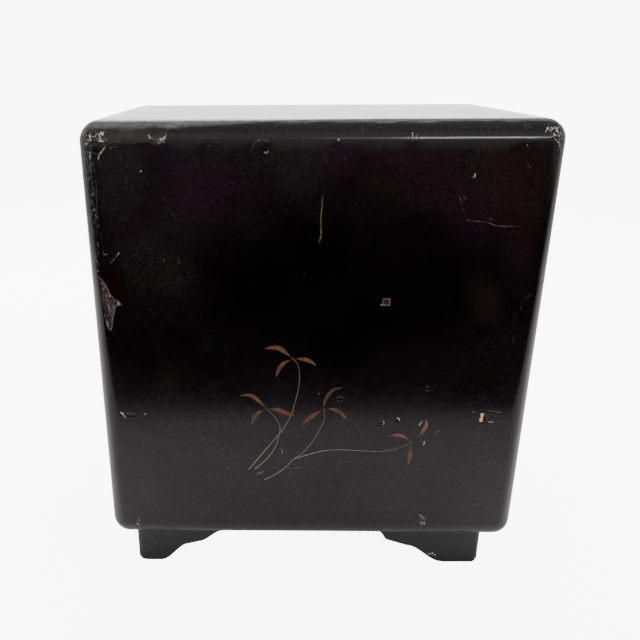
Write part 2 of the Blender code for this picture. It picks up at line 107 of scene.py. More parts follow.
class Shading:
    """A Principled material, the colour, roughness and height so far, and short calls for its nodes."""

    def __init__(self, name):
        self.material = bpy.data.materials.new(name)
        self.material.use_nodes = True
        self.tree = self.material.node_tree
        self.shader = self.tree.nodes["Principled BSDF"]
        self.colour = self.rough = self.height = None

    def fill(self, socket, value):
        if isinstance(value, Value):
            self.tree.links.new(value.socket, socket)
        else:
            socket.default_value = (*value, 1) if socket.type == "RGBA" else value

    def make(self, kind, inputs=(), **settings):
        made = self.tree.nodes.new(kind)
        for key, value in settings.items():
            setattr(made, key, value)
        for key, value in dict(inputs).items():
            self.fill(made.inputs[key], value)
        return made

    def node(self, kind, inputs=(), out=0, **settings):
        return Value(self, self.make(kind, inputs, **settings).outputs[out])

    def place(self, stretch=(1, 1, 1), shift=(0, 0, 0), turn=(0, 0, 0)):
        """The piece's own coordinates, which stay with it when it moves."""
        source = self.node("ShaderNodeTexCoord", out="Object")
        mapping = {"Vector": source, "Scale": stretch, "Location": shift, "Rotation": turn}
        return self.node("ShaderNodeMapping", mapping)

    def axes(self):
        """The same coordinates as x, y and z."""
        outputs = self.make("ShaderNodeSeparateXYZ", {0: self.place()}).outputs
        return [Value(self, output) for output in outputs]

    def noise(self, place, scale, detail=3.0, roughness=0.5, distortion=0.0):
        inputs = {"Vector": place, "Scale": scale, "Detail": detail, "Roughness": roughness, "Distortion": distortion}
        return self.node("ShaderNodeTexNoise", inputs)

    def math(self, operation, a, b=0.5, clamp=False):
        return self.node("ShaderNodeMath", {0: a, 1: b}, operation=operation, use_clamp=clamp)

    def most(self, first, *others):
        for other in others:
            first = self.math("MAXIMUM", first, other)
        return first

    def away(self, x, z):
        """The distance of two values from zero."""
        return self.math("SQRT", x * x + z * z)

    def span(self, value, low, high, start=0.0, stop=1.0):
        """Maps low..high to start..stop, held at both ends."""
        inputs = {"Value": value, "From Min": low, "From Max": high, "To Min": start, "To Max": stop}
        return self.node("ShaderNodeMapRange", inputs)

    def ramp(self, value, stops):
        made = self.make("ShaderNodeValToRGB", {"Fac": value})
        while len(made.color_ramp.elements) < len(stops):
            made.color_ramp.elements.new(0.5)
        for element, (position, colour) in zip(made.color_ramp.elements, stops):
            element.position = position
            element.color = (*colour, 1)
        return Value(self, made.outputs[0])

    def mix(self, share, a, b):
        return self.node("ShaderNodeMix", {0: share, 6: a, 7: b}, out=2, data_type="RGBA")

    def field(self, name):
        """A value that the mesh carries at its points."""
        return self.node("ShaderNodeAttribute", out="Fac", attribute_name=name)

    def paint(self, share, tone, over=None):
        """Lays a tone, or a ramp of tones over a value, on the colour so far."""
        self.colour = self.mix(share, self.colour, self.ramp(over, tone) if over else tone)

    def roughen(self, share, level):
        """Where share is 1, the surface is at least as rough as level."""
        self.rough = self.most(self.rough, share * level)

    def finish(self, strength, distance, **sockets):
        """Feeds the Principled shader what has been made, with the height as a bump."""
        bump = {"Height": self.height, "Strength": strength, "Distance": distance}
        sockets |= {"Base Color": self.colour, "Roughness": self.rough, "Normal": self.node("ShaderNodeBump", bump)}
        for name, value in sockets.items():
            self.fill(self.shader.inputs[name.replace("_", " ")], value)
        return self.material

    def blend(self, share, a, b):
        """Shows shader a, or shader b by share, in place of the Principled one."""
        self.show(self.node("ShaderNodeMixShader", {0: share, 1: a, 2: b}))

    def show(self, surface):
        self.fill(self.tree.nodes["Material Output"].inputs["Surface"], surface)


def wear_coat(s, place, mottle, grit, clean, wear):
    """The coat's dust, tints, rubbed edges, chips and cracks, and its painted highlights and shade, from the masks that
    its mesh carries.
    """
    edge, tan, ground = s.field("edge"), s.field("tan"), s.field("wood")
    # Dust, in grains
    cells = s.node("ShaderNodeTexVoronoi", {"Vector": place, "Scale": 1050}, out="Distance")
    grains = s.span(cells, 0.38, 0.18) * s.span(s.noise(place, 700, 3, 0.6), 0.4, 0.6, 0.25, 1.0)
    s.paint(s.field("calm") * 0.8, clean)
    thickness = s.span(s.noise(place, 75, 4, 0.6), 0.38, 0.62, 0.35, 1.0) * s.field("film") + edge * 0.3
    s.paint(grains * thickness, (0.056, 0.052, 0.05))
    coarse = grains * 0.6 + 0.12
    s.paint(s.field("violet") * coarse, (0.024, 0.0085, 0.024))
    s.paint(s.field("olive") * coarse, (0.025, 0.014, 0.0065))
    s.paint(s.field("dusty") * coarse, (0.03, 0.028, 0.026))
    # Edges rubbed grey, with specks and frosted cracks
    worn = s.noise(place, 330, 5, 0.68, 0.3) * 0.75 + edge * 0.15
    rubbed = s.span(worn, 0.6, 0.74, 0.0, wear) * s.span(edge, 0.0, 0.5, 0.05, 1.0)
    s.paint(rubbed, ((0.3, (0.035, 0.025, 0.021)), (0.7, (0.13, 0.115, 0.105))), grit)
    shred = s.noise(s.place(stretch=(1, 1, 0.5)), 1000, 4, 0.75)
    frost = s.field("frost") * s.span(shred, 0.42, 0.6, 0.15, 0.85)
    speck = s.noise(s.place(stretch=(1, 1, 0.55)), 560, 4, 0.72) + s.field("speckle") * 0.2
    speck = s.most(s.span(speck, 0.745, 0.8, 0.0, 0.4), frost)
    s.paint(speck, ((0.45, (0.035, 0.04, 0.048)), (0.57, (0.1, 0.11, 0.13)), (0.64, (0.42, 0.44, 0.48))), shred)
    s.paint(s.span(s.noise(place, 2300, 2, 0.5), 0.735, 0.765, 0.0, 0.35), (0.12, 0.1, 0.1))
    # Thin and lifted lacquer
    veil, flake = s.field("veil"), s.field("flake")
    s.paint(veil * 0.5, (0.03, 0.021, 0.016))
    s.paint(flake * 0.7, ((0.35, (0.008, 0.006, 0.006)), (0.7, (0.04, 0.033, 0.03))), mottle)
    s.paint(s.field("rust"), ((0.3, (0.0025, 0.0006, 0.001)), (0.7, (0.0075, 0.0018, 0.0026))), mottle)
    # The ground that the torn flake bares
    grain = s.noise(s.place(stretch=(1, 1, 0.12)), 1100, 4, 0.6)
    fleck = s.noise(s.place(stretch=(1, 1, 0.45)), 700, 5, 0.75, 0.8)
    s.paint(ground, ((0.36, (0.004, 0.0015, 0.0015)), (0.64, (0.036, 0.021, 0.016))), grain)
    s.paint(ground * s.span(fleck, 0.53, 0.59, 0.0, 0.85), (0.2, 0.16, 0.145))
    s.paint(ground * s.span(fleck, 0.5, 0.45, 0.0, 0.95), (0.004, 0.001, 0.001))
    # A pale line along the top of the back, scratches and cracks, with some painted highlights
    patchy = s.span(s.noise(s.place(stretch=(0.15, 1, 1)), 900, 4, 0.7), 0.3, 0.62, 0.25, 1.0)
    pale_top_line = s.field("rim") * patchy
    s.paint(pale_top_line, (0.085, 0.095, 0.088))
    gap = s.span(s.noise(place, 900, 3, 0.7), 0.4, 0.52, 0.15, 1.0)
    line_tone = ((0.3, (0.06, 0.041, 0.033)), (0.7, (0.18, 0.145, 0.125)))
    # The tan mask also holds the highlight painted along the bottom edge of the back, and the faint mask the highlights
    # painted on some pits' rims
    s.paint(tan * gap * 0.8, line_tone, grit)
    s.paint(s.field("faint") * gap * 0.33, line_tone, grit)
    s.paint(s.field("pink") * gap * 0.85, ((0.3, (0.1, 0.065, 0.065)), (0.7, (0.3, 0.23, 0.23))), grit)
    # Crumbled corners and chips, and the highlights and shade painted in the pits
    broken = s.field("crumble") * s.span(s.noise(place, 420, 3, 0.6), 0.36, 0.5)
    shards = ((0.44, (0.004, 0.003, 0.003)), (0.52, (0.04, 0.03, 0.026)), (0.57, (0.18, 0.16, 0.145)),
              (0.63, (0.72, 0.69, 0.64)))
    s.paint(broken, shards, s.noise(place, 820, 4, 0.72, 0.6))
    # The cream mask also holds the highlights painted on one side of the pits' rims
    cream, orange = s.field("cream"), s.field("orange")
    s.paint(cream * s.span(gap, 0.15, 1.0, 0.25, 1.0), ((0.34, (0.16, 0.12, 0.09)), (0.6, (0.58, 0.51, 0.45))), grit)
    s.paint(orange, ((0.3, (0.55, 0.27, 0.12)), (0.7, (0.85, 0.6, 0.38))), grit)
    # The crack mask also holds the shade painted in the pits' floors
    s.paint(s.field("crack"), (0.002, 0.0012, 0.0012))
    s.paint(s.field("gold") * s.span(grit, 0.35, 0.55, 0.35, 1.0), (0.21, 0.145, 0.08))
    bare = s.most(ground, cream, broken, orange)
    s.roughen(pale_top_line, 0.36)
    s.roughen(bare, 0.85)
    s.roughen(s.most(speck, tan), 0.5)
    s.roughen(s.most(veil, flake), 0.3)
    s.roughen(rubbed, 0.42)
    s.height = s.height + bare * grit * 3.0 + flake * mottle * 1.2 - rubbed * 0.4


def wear_box(s, place, grit, box, chips, knocks):
    """The worn edges of a board whose corners are box, with its chips and the crescent that its ring has knocked."""
    axes = s.axes()
    x, y, z = (abs(axis - (low + high) / 2) - (high - low) / 2 for axis, low, high in zip(axes, *box))
    # The middle one of the three tells how near the point is to an edge
    smallest = s.math("MINIMUM", s.math("MINIMUM", x, y), z)
    nearness = x + y + z - s.most(x, y, z) - smallest
    worn = s.span(nearness + s.noise(place, 300, 5, 0.75) * 0.003, 0.00115, 0.00155, 0.0, 0.85)
    s.paint(worn, ((0.35, (0.03, 0.012, 0.007)), (0.65, (0.15, 0.075, 0.045))), grit)
    for x, z, radius in chips:
        away = s.away(axes[0] - x * MM, axes[2] - z * MM) + s.noise(place, 900, 3, 0.6) * 0.0012
        chip = s.span(away, (radius + 0.75) * MM, (radius + 0.45) * MM)
        s.paint(chip, ((0.35, (0.2, 0.1, 0.07)), (0.6, (0.62, 0.42, 0.32))), grit)
        worn = s.most(worn, chip)
    if knocks:
        up = axes[2] - (knocks[1] - RING_RADIUS)
        band = abs(s.away(axes[0] - knocks[0], up) - RING_RADIUS) + s.noise(place, 700, 4, 0.7) * 0.0016
        knock = s.span(band, 0.0011, 0.0015, 0.75, 0.0) * s.span(up, -0.0045, -0.001, 1.0, 0.0)
        s.paint(knock, ((0.35, (0.02, 0.012, 0.009)), (0.65, (0.11, 0.08, 0.06))), grit)
        worn = s.most(worn, knock)
    s.roughen(worn, 0.55)
    s.height = s.height - worn * 0.8


def lacquer(name, tint, seed, gloss, wear, fields=False, box=None, chips=(), knocks=None):
    """Old black lacquer.

    With fields it reads the masks of the coat's mesh. A box (low, high) has worn edges, and chips at x, z, radius.
    Knocks is the place, at x and z, of the ring that has dented it.
    """
    s = Shading(name)
    place = s.place(shift=(seed * 0.37, seed * 0.11, seed * 0.23))
    cloud = s.noise(place, 26, 4, 0.55)
    mottle = s.noise(place, 240, 4, 0.6, 0.4)
    grit = s.noise(place, 1500, 3, 0.6)
    deep, warm = tint
    s.colour = s.ramp(cloud * 0.65 + mottle * 0.35, ((0.3, deep), (0.72, warm)))
    streaks = s.noise(s.place(stretch=(1, 1, 0.04), turn=(0, 0, 0.02)), 1700, 2, 0.5)
    s.rough = s.span(cloud, 0.3, 0.7, gloss, gloss + 0.06) + s.span(mottle, 0.45, 0.75, 0.0, 0.05)
    s.rough = s.rough + s.span(streaks, 0.7, 0.78) * 0.07
    s.height = s.noise(place, 120, 3, 0.5) * 0.6 + mottle * 0.12
    haze = s.span(s.noise(place, 38, 3, 0.5), 0.42, 0.62) * s.span(s.noise(place, 650, 3, 0.7), 0.4, 0.66)
    s.paint(haze * 0.55, (0.0085, 0.009, 0.008))
    if fields:
        wear_coat(s, place, mottle, grit, deep, wear)
    else:
        rubbed = s.span(s.noise(place, 420, 5, 0.7), 0.66, 0.74, 0.0, wear)
        s.paint(rubbed, ((0.3, (0.035, 0.022, 0.016)), (0.7, (0.12, 0.09, 0.07))), grit)
        s.roughen(rubbed, 0.5)
    if box:
        wear_box(s, place, grit, box, chips, knocks)
    return s.finish(0.16, 0.0004, IOR=1.54, Specular_IOR_Level=0.5)


def wood(name, axis, seed):
    """Planed wood with its grain along one axis."""
    s = Shading(name)
    pale, dark = (0.42, 0.27, 0.15), (0.22, 0.12, 0.06)
    stretch = [1.0, 1.0, 1.0]
    stretch[axis] = 0.07
    place = s.place(stretch=stretch, shift=(seed * 0.31, seed * 0.53, seed * 0.17))
    bend = s.node("ShaderNodeCombineXYZ", {"X": s.noise(place, 60, 3, 0.5) * 0.01})
    band = s.noise(s.node("ShaderNodeVectorMath", {0: place, 1: bend}, operation="ADD"), 420, 4, 0.6, 0.6)
    fibre = s.noise(place, 3200, 3, 0.6)
    tone = band * 0.62 + fibre * 0.38
    middle = tuple(0.55 * a + 0.45 * b for a, b in zip(pale, dark))
    s.colour = s.ramp(tone, ((0.3, dark), (0.52, middle), (0.7, pale)))
    stain = s.noise(s.place(shift=(seed, 0, 0)), 38, 4, 0.6)
    s.paint(s.span(stain, 0.45, 0.75, 0.0, 0.42), tuple(0.55 * c for c in dark))
    pore = s.span(s.noise(place, 5200, 2, 0.5), 0.63, 0.7)
    s.paint(pore * 0.5, tuple(0.4 * c for c in dark))
    s.rough = s.span(tone, 0.3, 0.7, 0.7, 0.55)
    s.height = band * 0.6 + fibre * 0.4 - pore * 0.5
    return s.finish(0.45, 0.0003)


def brass(name):
    """Old brass: bright where it is handled, brown in its hollows."""
    s = Shading(name)
    place = s.place(shift=(0.4, 0.2, 0.3))
    cloud = s.noise(place, 170, 5, 0.65, 0.5)
    spots = s.noise(place, 900, 4, 0.7)
    tones = ((0.36, (0.06, 0.032, 0.015)), (0.48, (0.22, 0.125, 0.05)), (0.62, (0.5, 0.33, 0.14)))
    s.colour = s.ramp(cloud * 0.6 + spots * 0.4, tones)
    s.paint(s.field("hollow") * s.span(spots, 0.35, 0.55, 1.0, 0.55), (0.03, 0.016, 0.009))
    verdigris = s.span(s.noise(place, 420, 4, 0.7), 0.66, 0.74, 0.0, 0.5)
    s.paint(verdigris, (0.1, 0.17, 0.12))
    s.rough = s.span(cloud, 0.35, 0.65, 0.44, 0.2) + verdigris * 0.5
    s.height = cloud * 0.5 + spots * 0.5
    return s.finish(0.35, 0.00025, Metallic=s.math("SUBTRACT", 1.0, verdigris * 1.2, clamp=True))


BLACK = ((0.001, 0.0005, 0.0007), (0.004, 0.0016, 0.0021))
BROWN_BLACK = ((0.006, 0.0035, 0.003), (0.02, 0.011, 0.008))

# The coat's mesh --------------------


def stepped(low, high, step):
    """Evenly spaced values from low to high, about a step apart."""
    return np.linspace(low, high, max(1, int(round((high - low) / step))) + 1)


def mesh_of(name, made, sharp_above=None):
    """A smooth mesh from a bmesh, which is freed. Edges sharper than an angle in degrees stay sharp."""
    mesh = bpy.data.meshes.new(name)
    made.to_mesh(mesh)
    made.free()
    mesh.shade_smooth()
    if sharp_above:
        mesh.set_sharp_from_angle(angle=math.radians(sharp_above))
    return mesh


def link(name, data):
    made = bpy.data.objects.new(name, data)
    scene.collection.objects.link(made)
    return made


def value_noise(points, size, seed):
    """Smooth noise from -1 to 1 at points, with features of about the given size."""
    table = np.random.default_rng(seed).uniform(-1, 1, 4096)
    scaled = points / size + 100.0
    cell = np.floor(scaled).astype(np.int64)
    share = scaled - cell
    share = share * share * (3 - 2 * share)
    total = np.zeros(len(points))
    for corner in range(8):
        step = np.array([corner & 1, corner >> 1 & 1, corner >> 2 & 1])
        key = ((cell + step) * np.array([73856093, 19349663, 83492791])).sum(1)
        weight = np.where(step, share, 1 - share).prod(1)
        total += weight * table[(key ^ (key >> 13)) % 4096]
    return total


def smooth(value, low, high):
    t = np.clip((value - low) / (high - low), 0, 1)
    return t * t * (3 - 2 * t)


def axis_lines(half, interior, edge_steps):
    """Lines across one side of the rounded box: (place on the inner box, turn into the edge)."""
    turns = [math.tan(math.pi / 4 * i / edge_steps) for i in range(1, edge_steps + 1)]
    inner = half - CASE_RADIUS
    return [(-inner, -t) for t in reversed(turns)] + [(v, 0.0) for v in interior] + [(inner, t) for t in turns]


def rounded_sheet(step, radius, edge_steps):
    """The rounded box without its flat front and its peg holes. Returns a bmesh."""
    sides = (-PEG_HALF, PEG_HALF)
    extra = ([x - CASE_CENTRE[0] + side for x, _ in OPEN_PEGS for side in sides], [],
             [z - CASE_CENTRE[2] + side for _, z in OPEN_PEGS for side in sides])
    lines = []
    for half, cuts in zip(CASE_HALF, extra):
        inner = half - CASE_RADIUS
        places = [-inner, inner, *cuts]
        if step:
            places += [v for v in stepped(-inner, inner, step) if all(abs(v - cut) > step * 0.35 for cut in cuts)]
        lines.append(axis_lines(half, sorted({round(float(v), 7) for v in places}), edge_steps))
    made = bmesh.new()
    found = {}

    def corner(key):
        if key not in found:
            inner, turn = np.array([lines[a][key[a]] for a in range(3)]).T
            found[key] = made.verts.new(CASE_CENTRE + inner + radius * turn / np.linalg.norm(turn))
        return found[key]

    def is_open(end, i, j):
        """Whether a cell across the y axis is part of the flat front, or of a peg hole."""
        cell = ((0, i), (2, j))
        if any(lines[a][n][1] or lines[a][n + 1][1] for a, n in cell):
            return False
        x, z = ((lines[a][n][0] + lines[a][n + 1][0]) / 2 + CASE_CENTRE[a] for a, n in cell)
        return end == 0 or any(abs(x - px) < PEG_HALF and abs(z - pz) < PEG_HALF for px, pz in OPEN_PEGS)

    for axis in range(3):
        u, v = [a for a in range(3) if a != axis]
        for end in (0, len(lines[axis]) - 1):
            for i in range(len(lines[u]) - 1):
                for j in range(len(lines[v]) - 1):
                    if axis == 1 and is_open(end, i, j):
                        continue
                    keys = []
                    for di, dj in ((0, 0), (1, 0), (1, 1), (0, 1)):
                        key = [0, 0, 0]
                        key[axis], key[u], key[v] = end, i + di, j + dj
                        keys.append(tuple(key))
                    made.faces.new([corner(k) for k in keys])
    return made


def loops_of(faces):
    """The open edges of some faces, as lists of edges, one list for each loop."""
    chosen = set(faces)
    rim = {e for f in faces for e in f.edges if sum(g in chosen for g in e.link_faces) == 1}
    loops = []
    while rim:
        stack, loop = [rim.pop()], []
        while stack:
            edge = stack.pop()
            loop.append(edge)
            near = [e for v in edge.verts for e in v.link_edges if e in rim]
            for e in near:
                rim.discard(e)
            stack.extend(near)
        loops.append(loop)
    return loops


def on_box(points, radius):
    """Points moved onto the rounded box of the given edge radius, with their outward directions."""
    local = points - CASE_CENTRE
    inner = np.clip(local, -(CASE_HALF - CASE_RADIUS), CASE_HALF - CASE_RADIUS)
    away = local - inner
    away /= np.linalg.norm(away, axis=1)[:, None]
    return CASE_CENTRE + inner + away * radius, away


def points_of(verts):
    return np.array([v.co for v in verts], float).reshape(-1, 3)


def rows(**groups):
    """One list of rows, each starting with the mask that its group is named for."""
    return [(mask, *row) for mask, group in groups.items() for row in group]


def paths(**groups):
    """The same for rows of two numbers and the x and z of each point: (mask, number, number, points)."""
    return [(mask, a, b, np.reshape(points, (-1, 2)).astype(float)) for mask, a, b, *points in rows(**groups)]


# Wear, and the highlights and shade painted with it, placed from the photograph. Millimetres: x to the photograph's
# left, height z above the floor.
# Small chips: (x, y, z, radius, depth)
CHIPS = rows(
    orange=((101.7, 71.1, 228.9, 0.45, 0.08),),
    cream=((99.5, 72.4, 227.4, 0.8, 0.1), (78.4, 73, 214.2, 0.5, 0.08), (83.9, 73, 222.7, 0.3, 0.05), (84.1, 73, 95,
    0.6, 0.09), (-87.2, 73, 224.7, 0.45, 0.06), (-32.7, 73, 39.5, 0.28, 0.05), (-7.1, 72.9, 227.2, 0.45, 0.06),
    (-29.7, 73, 152.6, 0.55, 0.05)),
    crack=((100.6, 72, 228.6, 0.7, 0.16), (98.2, 72.6, 226.2, 1.1, 0.16), (97.4, 73, 222.2, 1, 0.14), (102.8, 70.2,
    226, 1, 0.14), (-103.6, 70.1, 164.2, 1.5, 0.2), (92.2, 72.9, 31.4, 0.5, 0.12), (-74.2, 68.6, 233.9, 0.8, 0.16)),
    tan=((6, 73, 167.5, 0.45, 0.06), (-78.3, 73, 96.7, 0.7, 0.04), (91.2, 73, 31.6, 0.4, 0.05), (-92.4, 73, 148.7,
    0.35, 0.05), (-2.3, 73, 106.4, 0.5, 0.04), (-101.5, 71.8, 32.9, 0.6, 0.1), (64, 73, 175.9, 0.45, 0.03), (66, 73,
    195.2, 0.4, 0.03), (-75.4, 66.2, 234.8, 0.9, 0.06), (-72.6, 65.8, 234.9, 0.7, 0.06)),
    faint=((63.6, 73, 173.2, 0.7, 0.03), (70.4, 73, 174.2, 0.8, 0.03), (73.3, 73, 175.1, 0.6, 0.02), (69.1, 73, 202.3,
    0.45, 0.03)),
    frost=((101.2, 71.9, 168.5, 1, 0.04),),
)

# The dark floors are painted shade, and the pale sides of the rims painted highlights
# Pits with a dark floor and a rim that is pale on one side: (x, z, radius, side in degrees from the photograph's right)
PITS = rows(
    cream=((-65.8, 211.9, 0.95, 10), (-33.8, 90.8, 1.15, -10), (-41.3, 92.4, 1.1, 40), (-54.6, 79.5, 1.2, -20), (23.9,
    222.6, 1, -70)),
    faint=((-12.5, 103.7, 1.7, -90), (-75.7, 193.3, 0.8, 200)),
)

# Scratches, cracks and lifted edges: (width, depth, x, z of each point)
LINES = paths(
    gold=((0.34, 0.02, -1.1, 203.6, -0.5, 194.3, -0.7, 190), (0.46, 0.02, -0.5, 194.3, -0.8, 185.3, 0, 182.5)),
    tan=((0.3, 0.05, -64.8, 192.4, -74.3, 191.5, -77.2, 190.2, -80, 189.7, -88.8, 189.6), (0.4, 0.03, 98, 178.6, 97.6,
    176.8, 96.2, 176.9), (0.45, 0.06, 93.4, 95.6, 92.4, 94.9), (0.36, 0.05, 93.2, 96, 91, 95.2, 89.2, 95.4), (0.34,
    0.06, -85.2, 97.5, -87.7, 97.1, -92.3, 96.5), (0.36, 0.06, -88, 91.5, -89.6, 90.9, -90.8, 91.4), (0.3, 0.05, 49,
    225.2, 47.7, 224.7), (0.46, 0.03, -60.3, 83.9, -62.4, 86.8), (0.45, 0.05, 29.9, 223.8, 29.3, 225.4, 27.6, 226.9,
    25.4, 227.4, 23, 226.8), (0.45, 0.06, 91.1, 224.1, 88.9, 224.8, 87.6, 224.5)),
    faint=((0.3, 0.02, -64.8, 192.4, -60.4, 203.5, -60.8, 204.6), (0.5, 0.03, -94.4, 150.8, -94.5, 154.4, -97, 157.2,
    -98.7, 157.7), (0.3, 0.03, -93.2, 137.7, -92.4, 135.8, -93.3, 133.8), (0.42, 0.03, -87.8, 217.9, -90.3, 214.7),
    (0.34, 0.06, -85.9, 95.4, -87.6, 95.2, -88.8, 94), (0.34, 0.02, -12.6, 67.3, -16.4, 67.9, -20.2, 68.2), (0.24,
    0.02, -27.8, 67.7, -34, 68.8, -41.5, 71), (0.75, 0.02, 14.1, 64.2, 10.9, 64.4, 9.6, 64.1, 8, 64.5, 4.6, 64.4),
    (0.3, 0.02, 24.6, 82.7, 24.1, 79.1), (0.26, 0.02, 65.8, 197, 64.6, 193.8), (0.4, 0.02, -55.4, 94.2, -55.1, 96.9),
    (0.5, 0.05, 60.8, 232.8, 64.2, 232.3, 65.9, 231.7, 66.7, 229.7), (0.34, 0.08, 13.5, 75.6, 13.8, 72.8), (0.5, 0.06,
    -9.1, 54.1, -9.1, 51.4), (0.5, 0.06, -11, 54, -11, 51.6), (0.4, 0.03, 98.8, 221, 98.4, 208, 99, 196, 98.4, 182),
    (0.4, 0.03, -17.3, 232.5, -17.2, 229.4), (0.36, 0.02, -52.6, 80.6, -55.5, 79)),
    cream=((0.55, 0.06, 90.7, 177.6, 92.3, 175.6), (0.48, 0.06, 93.1, 174.8, 94.6, 173), (0.42, 0.06, -85.8, 91.9,
    -86.8, 91.3, -88, 91.5), (0.46, 0.05, -52.2, 89.4, -53.6, 91.8), (0.42, 0.05, 66.7, 229.7, 67.2, 228.2, 68.4,
    227.2, 69.6, 226), (0.4, 0.06, 92.7, 225, 94.6, 222.8, 96.1, 221.1, 96.5, 219), (0.45, 0.08, -94.4, 229.7, -95.6,
    231.7, -96.4, 230.4, -97.2, 231.9), (0.55, 0.08, 15.9, 76, 15.6, 72.6), (0.4, 0.04, -38.3, 229.9, -38.7, 227.1),
    (0.34, 0.04, -39.9, 229.3, -40.2, 227.3)),
    orange=((0.75, 0.12, 96, 96, 95, 94.9, 93.9, 93.1),),
    crack=((0.36, 0.1, 92.9, 94.9, 91.4, 94, 90.1, 94.3, 88.6, 93.6), (0.7, 0.12, 14.7, 75.6, 14.7, 72.8)),
    pink=((0.34, 0.05, 101.4, 166, 98.1, 162.6, 96.8, 158.8, 94.7, 155.6, 93.1, 154.6), (0.6, 0.05, 93.1, 154.6, 91.7,
    152.8, 94.3, 152.1), (0.36, 0.05, 94.3, 152.1, 95.3, 148.5, 97.2, 140)),
    frost=((0.8, 0.05, 99.6, 165, 98.6, 162.4, 98.2, 160.9, 99.4, 157.5, 99.8, 153), (0.6, 0.05, 96.6, 147, 97,
    143.5), (0.9, 0.05, 99.4, 224.9, 99.9, 221.1, 100.6, 215)),
)

# Larger areas, as outlines: (strength, depth, x, z of each point)
AREAS = paths(
    rust=((1, 0, 100.2, 171.3, 95.4, 172.2, 89.6, 170.1, 89.3, 163.3, 89.8, 156.3, 92.7, 155.3, 94.7, 156, 96.7,
    159.1, 98.1, 162.9, 100.6, 166.5),),
    wood=((1, 0.15, 101.4, 166, 99.2, 164.6, 98.1, 162.6, 96.8, 158.8, 94.7, 155.6, 93.1, 154.6, 91.7, 152.8, 94.3,
    152.1, 95.3, 148.5, 96.4, 142.8, 97.4, 139, 99.3, 141.2, 99.9, 146.2, 100.2, 151.2, 100.5, 156.1, 100.3, 161.7),),
    orange=((1, 0.12, -81.9, 96.2, -83.4, 96.2, -83.2, 94.7, -82.2, 94.7, -82.2, 91, -81.7, 91),),
    crumble=((1, 0.12, 98.6, 231.2, 92.2, 230.8, 91.8, 227.9, 93.8, 226.4, 97.6, 226.8, 98.4, 229), (0.75, 0.1, 103.6,
    230, 101.4, 231.8, 98.9, 229.6, 99, 226.6, 101.4, 224.6, 104.2, 225.4), (1, 0.1, 74.4, 229.5, 72, 228.6, 70.6,
    227, 68.6, 228.4, 66.8, 229.2, 67.4, 226.6, 70.2, 225.6, 74.2, 227.2), (0.8, 0.09, -96.4, 232.6, -100.9, 231.4,
    -103.6, 226.4, -102.6, 222, -100.2, 225.6, -96.5, 228.4), (0.6, 0.07, -56.4, 36.4, -58.6, 36, -60.6, 30.2, -58.2,
    29.2, -57, 32), (0.7, 0.07, 90.5, 33.6, 92.3, 33, 92.8, 28.6, 90.9, 28.4)),
    flake=((0.8, 0.06, 103, 224, 92.5, 225.2, 88, 226.4, 80, 226.2, 74, 226.6, 71.4, 225, 67.5, 226.8, 66.4, 228.8,
    66.6, 230, 65.8, 231.8, 60.8, 232.8, 59.6, 236, 107, 236, 107, 226),),
    frost=((0.27, 0.03, 99.2, 223, 103.4, 222, 102.4, 206, 103, 190, 102.2, 172, 100.2, 171, 99.8, 184, 98.9, 196,
    99.6, 210),),
    # The tan band along the bottom edge of the back is wear with a painted highlight along that edge
    tan=((0.85, 0, 95.2, 24.3, -93.6, 24.3, -93.6, 22.2, 95.2, 22.2),),
    veil=((0.3, 0, -70, 163, -84, 161, -85, 145, -72, 143), (0.25, 0, 78, 120, 66, 118, 64, 106, 76, 107)),
)

# Soft patches where dust and wear tint the back: (x, z, reach across, reach up, strength)
TINTS = rows(
    dusty=((88, 212, 13, 24, 1), (84, 172, 15, 17, 0.75), (68, 168, 13, 13, 0.9), (7, 212, 13, 18, 0.8), (28, 221, 14,
    9, 0.5)),
    violet=((53, 204, 24, 15, 0.8), (30, 196, 18, 13, 0.45), (-6, 220, 12, 10, 0.9), (60, 222, 26, 9, 0.6), (-66, 196,
    16, 17, 0.7), (-40, 222, 32, 9, 0.7), (82, 184, 12, 10, 0.5), (-90, 178, 12, 14, 0.6), (-48, 205, 15, 13, 0.4)),
    olive=((-84, 211, 18, 20, 1), (-93, 184, 9, 18, 0.6), (-76, 158, 9, 9, 0.55), (62, 206, 9, 9, 0.35)),
)

# Rings left by something round: (x, z, radius)
RINGS = ((-62.4, 201.9, 1.35), (-54.7, 109.4, 1.45), (-44.5, 85.9, 1.25))


def edge_chips():
    """Chips along the edges that the photograph doesn't show, placed by a seeded dice."""
    dice = np.random.default_rng(21)
    inner = (CASE_HALF - CASE_RADIUS) / MM
    chips = []
    for across in (0, 1, 2):
        for _ in range(26):
            place = inner * dice.uniform(-1, 1, 3)
            for axis in {0, 1, 2} - {across}:
                place[axis] = inner[axis] * dice.choice((-1, 1))
            turn = np.sign(place) * dice.uniform(0.35, 1.0, 3)
            turn[across] = 0.0
            place += CASE_CENTRE / MM + turn / np.linalg.norm(turn) * CASE_RADIUS / MM
            kind, radius = dice.choice(("tan", "tan", "cream", "wood", "faint")), 0.3 + 0.75 * dice.uniform() ** 2.5
            if place[1] < 58:
                chips.append((str(kind), *place.round(1).tolist(), round(float(radius), 2), 0.1))
    return chips


CHIPS += edge_chips()
MASKS = ("cream", "wood", "rust", "orange", "crack", "tan", "faint", "pink", "gold", "crumble", "flake", "veil",
         "frost", "dusty", "violet", "olive")

# The longest edge that a face may have, in metres: plain, at an area or hole, at a chip, and at a line
PLAIN_FACE, AREA_FACE, CHIP_FACE, LINE_FACE = 0.0055, 0.0005, 0.00036, 0.00034
BIG_CHIP_FACE = 0.00046
SHORTEST_EDGE = 0.00012


